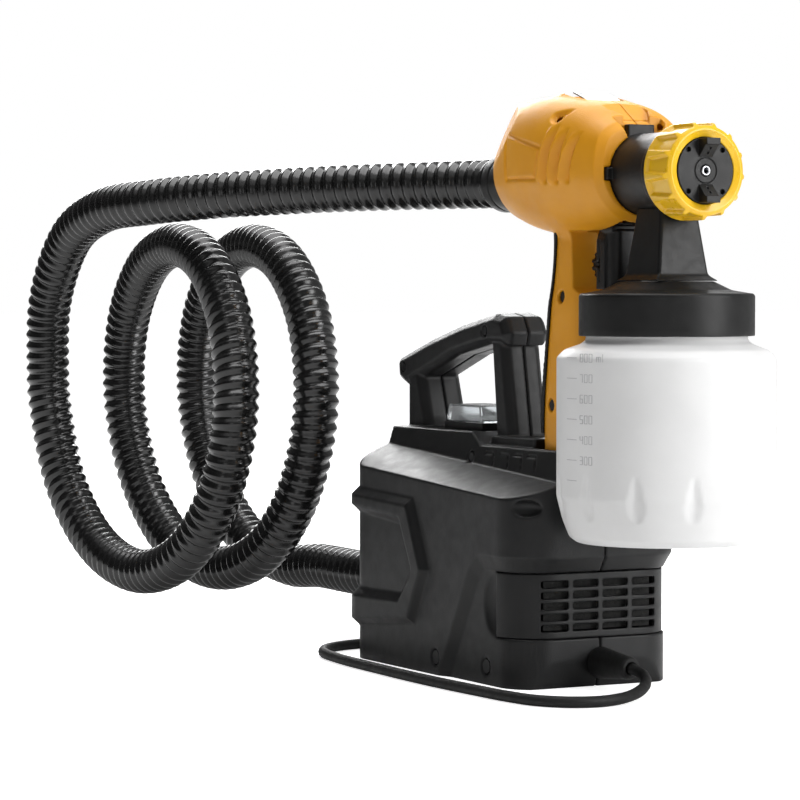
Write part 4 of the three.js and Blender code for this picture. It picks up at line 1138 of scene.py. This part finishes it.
# ---------- badge ----------
def badge(p):
    plate = every(0.15, np.abs(p[1]) - 10.8, slab(p[0], 33.6, 46.3), (p[2] - ramp_z(p[0]) - 0.3) * 0.946,
                  (ramp_z(p[0]) - 0.6 - p[2]) * 0.946)
    arc = every(0.1, np.abs(np.hypot(p[0] - 60, p[1]) - 24.2) - 0.7, ramp_z(p[0]) + 0.05 - p[2],
                np.abs(p[1]) - 9.6)
    return cut(plate, arc, 0.1)


finished(solid("badge_plate", badge, (33, -11.5, 308), (47, 11.5, 319), 0.3), "badge_metal",
         nodes=("top_badge",))

# Pieces that keep their CAD shape get their edges rounded.
for node, shown in frame["nodes"].items():
    if not shown.hide_render:
        rounding = shown.modifiers.new("rounding", "BEVEL")
        rounding.width = 0.0004
        rounding.segments = 2
        rounding.limit_method = "ANGLE"
        rounding.angle_limit = math.radians(35)
        rounding.harden_normals = False
        for face in shown.data.polygons:
            face.use_smooth = False


# ---------- floor, world and lights ----------
def make_floor():
    mesh = bpy.data.meshes.new("floor")
    size = 30
    corners = [(-size, -size, 0), (size, -size, 0), (size, size, 0), (-size, size, 0)]
    mesh.from_pydata(corners, [], [(0, 1, 2, 3)])
    floor = new_object("floor", mesh)
    material = make_material("floor", (0.9, 0.9, 0.9), (0.93, 0.93, 0.93), 3, (0.75, 0.85), 120, 0.00005)
    shader = material.node_tree.nodes["Principled BSDF"]
    shader.inputs["Emission Color"].default_value = (1, 1, 1, 1)
    tree = material.node_tree
    seen = tree.nodes.new("ShaderNodeMath")
    seen.operation = "MULTIPLY"
    seen.inputs[1].default_value = 0.75
    tree.links.new(tree.nodes.new("ShaderNodeLightPath").outputs["Is Camera Ray"], seen.inputs[0])
    tree.links.new(seen.outputs["Value"], shader.inputs["Emission Strength"])
    floor.data.materials.append(material)


make_floor()


def make_world():
    world = bpy.data.worlds.new("studio")
    world.use_nodes = True
    nodes, links = world.node_tree.nodes, world.node_tree.links
    seen = nodes["Background"]
    seen.inputs["Color"].default_value = (1, 1, 1, 1)
    seen.inputs["Strength"].default_value = 1.0
    lit = nodes.new("ShaderNodeBackground")
    direction = nodes.new("ShaderNodeTexCoord").outputs["Generated"]
    split = nodes.new("ShaderNodeSeparateXYZ")
    links.new(direction, split.inputs["Vector"])
    fade = nodes.new("ShaderNodeMapRange")
    fade.inputs["From Min"].default_value, fade.inputs["From Max"].default_value = -0.9, 0.5
    fade.inputs["To Min"].default_value, fade.inputs["To Max"].default_value = 0.03, 0.34
    links.new(split.outputs["Y"], fade.inputs["Value"])
    links.new(fade.outputs["Result"], lit.inputs["Strength"])
    lit.inputs["Color"].default_value = (1, 1, 1, 1)
    choose = nodes.new("ShaderNodeMixShader")
    links.new(nodes.new("ShaderNodeLightPath").outputs["Is Camera Ray"], choose.inputs["Fac"])
    links.new(lit.outputs["Background"], choose.inputs[1])
    links.new(seen.outputs["Background"], choose.inputs[2])
    links.new(choose.outputs["Shader"], nodes["World Output"].inputs["Surface"])
    bpy.context.scene.world = world


make_world()


def softbox(name, place, target, size, power):
    data = bpy.data.lights.new(name, "AREA")
    data.shape = "RECTANGLE"
    data.size, data.size_y = size
    data.energy = power
    lamp = bpy.data.objects.new(name, data)
    lamp.location = place
    lamp.rotation_euler = (Vector(target) - Vector(place)).to_track_quat("-Z", "Y").to_euler()
    bpy.context.scene.collection.objects.link(lamp)


softbox("key", (1.5, 0.75, 1.1), (0, 0, 0.15), (0.9, 0.9), 14)
softbox("top", (-0.2, 0.1, 1.9), (-0.1, 0, 0.1), (1.6, 1.6), 28)
softbox("front_fill", (1.6, -1.5, 0.7), (0.05, 0, 0.2), (0.5, 0.9), 2)
softbox("front_sheen", (1.7, 0.95, 0.45), (0, 0, 0.15), (0.8, 0.8), 13)
softbox("back_rim", (-1.7, 0.5, 1.05), (0, 0, 0.15), (1.2, 0.7), 26)
data = bpy.data.lights.new("floor_sun", "SUN")
data.energy = 0.4
data.angle = math.radians(60)
sun = bpy.data.objects.new("floor_sun", data)
sun.rotation_euler = (math.radians(12), math.radians(18), 0)
bpy.context.scene.collection.objects.link(sun)
bpy.context.scene.view_settings.view_transform = "Standard"
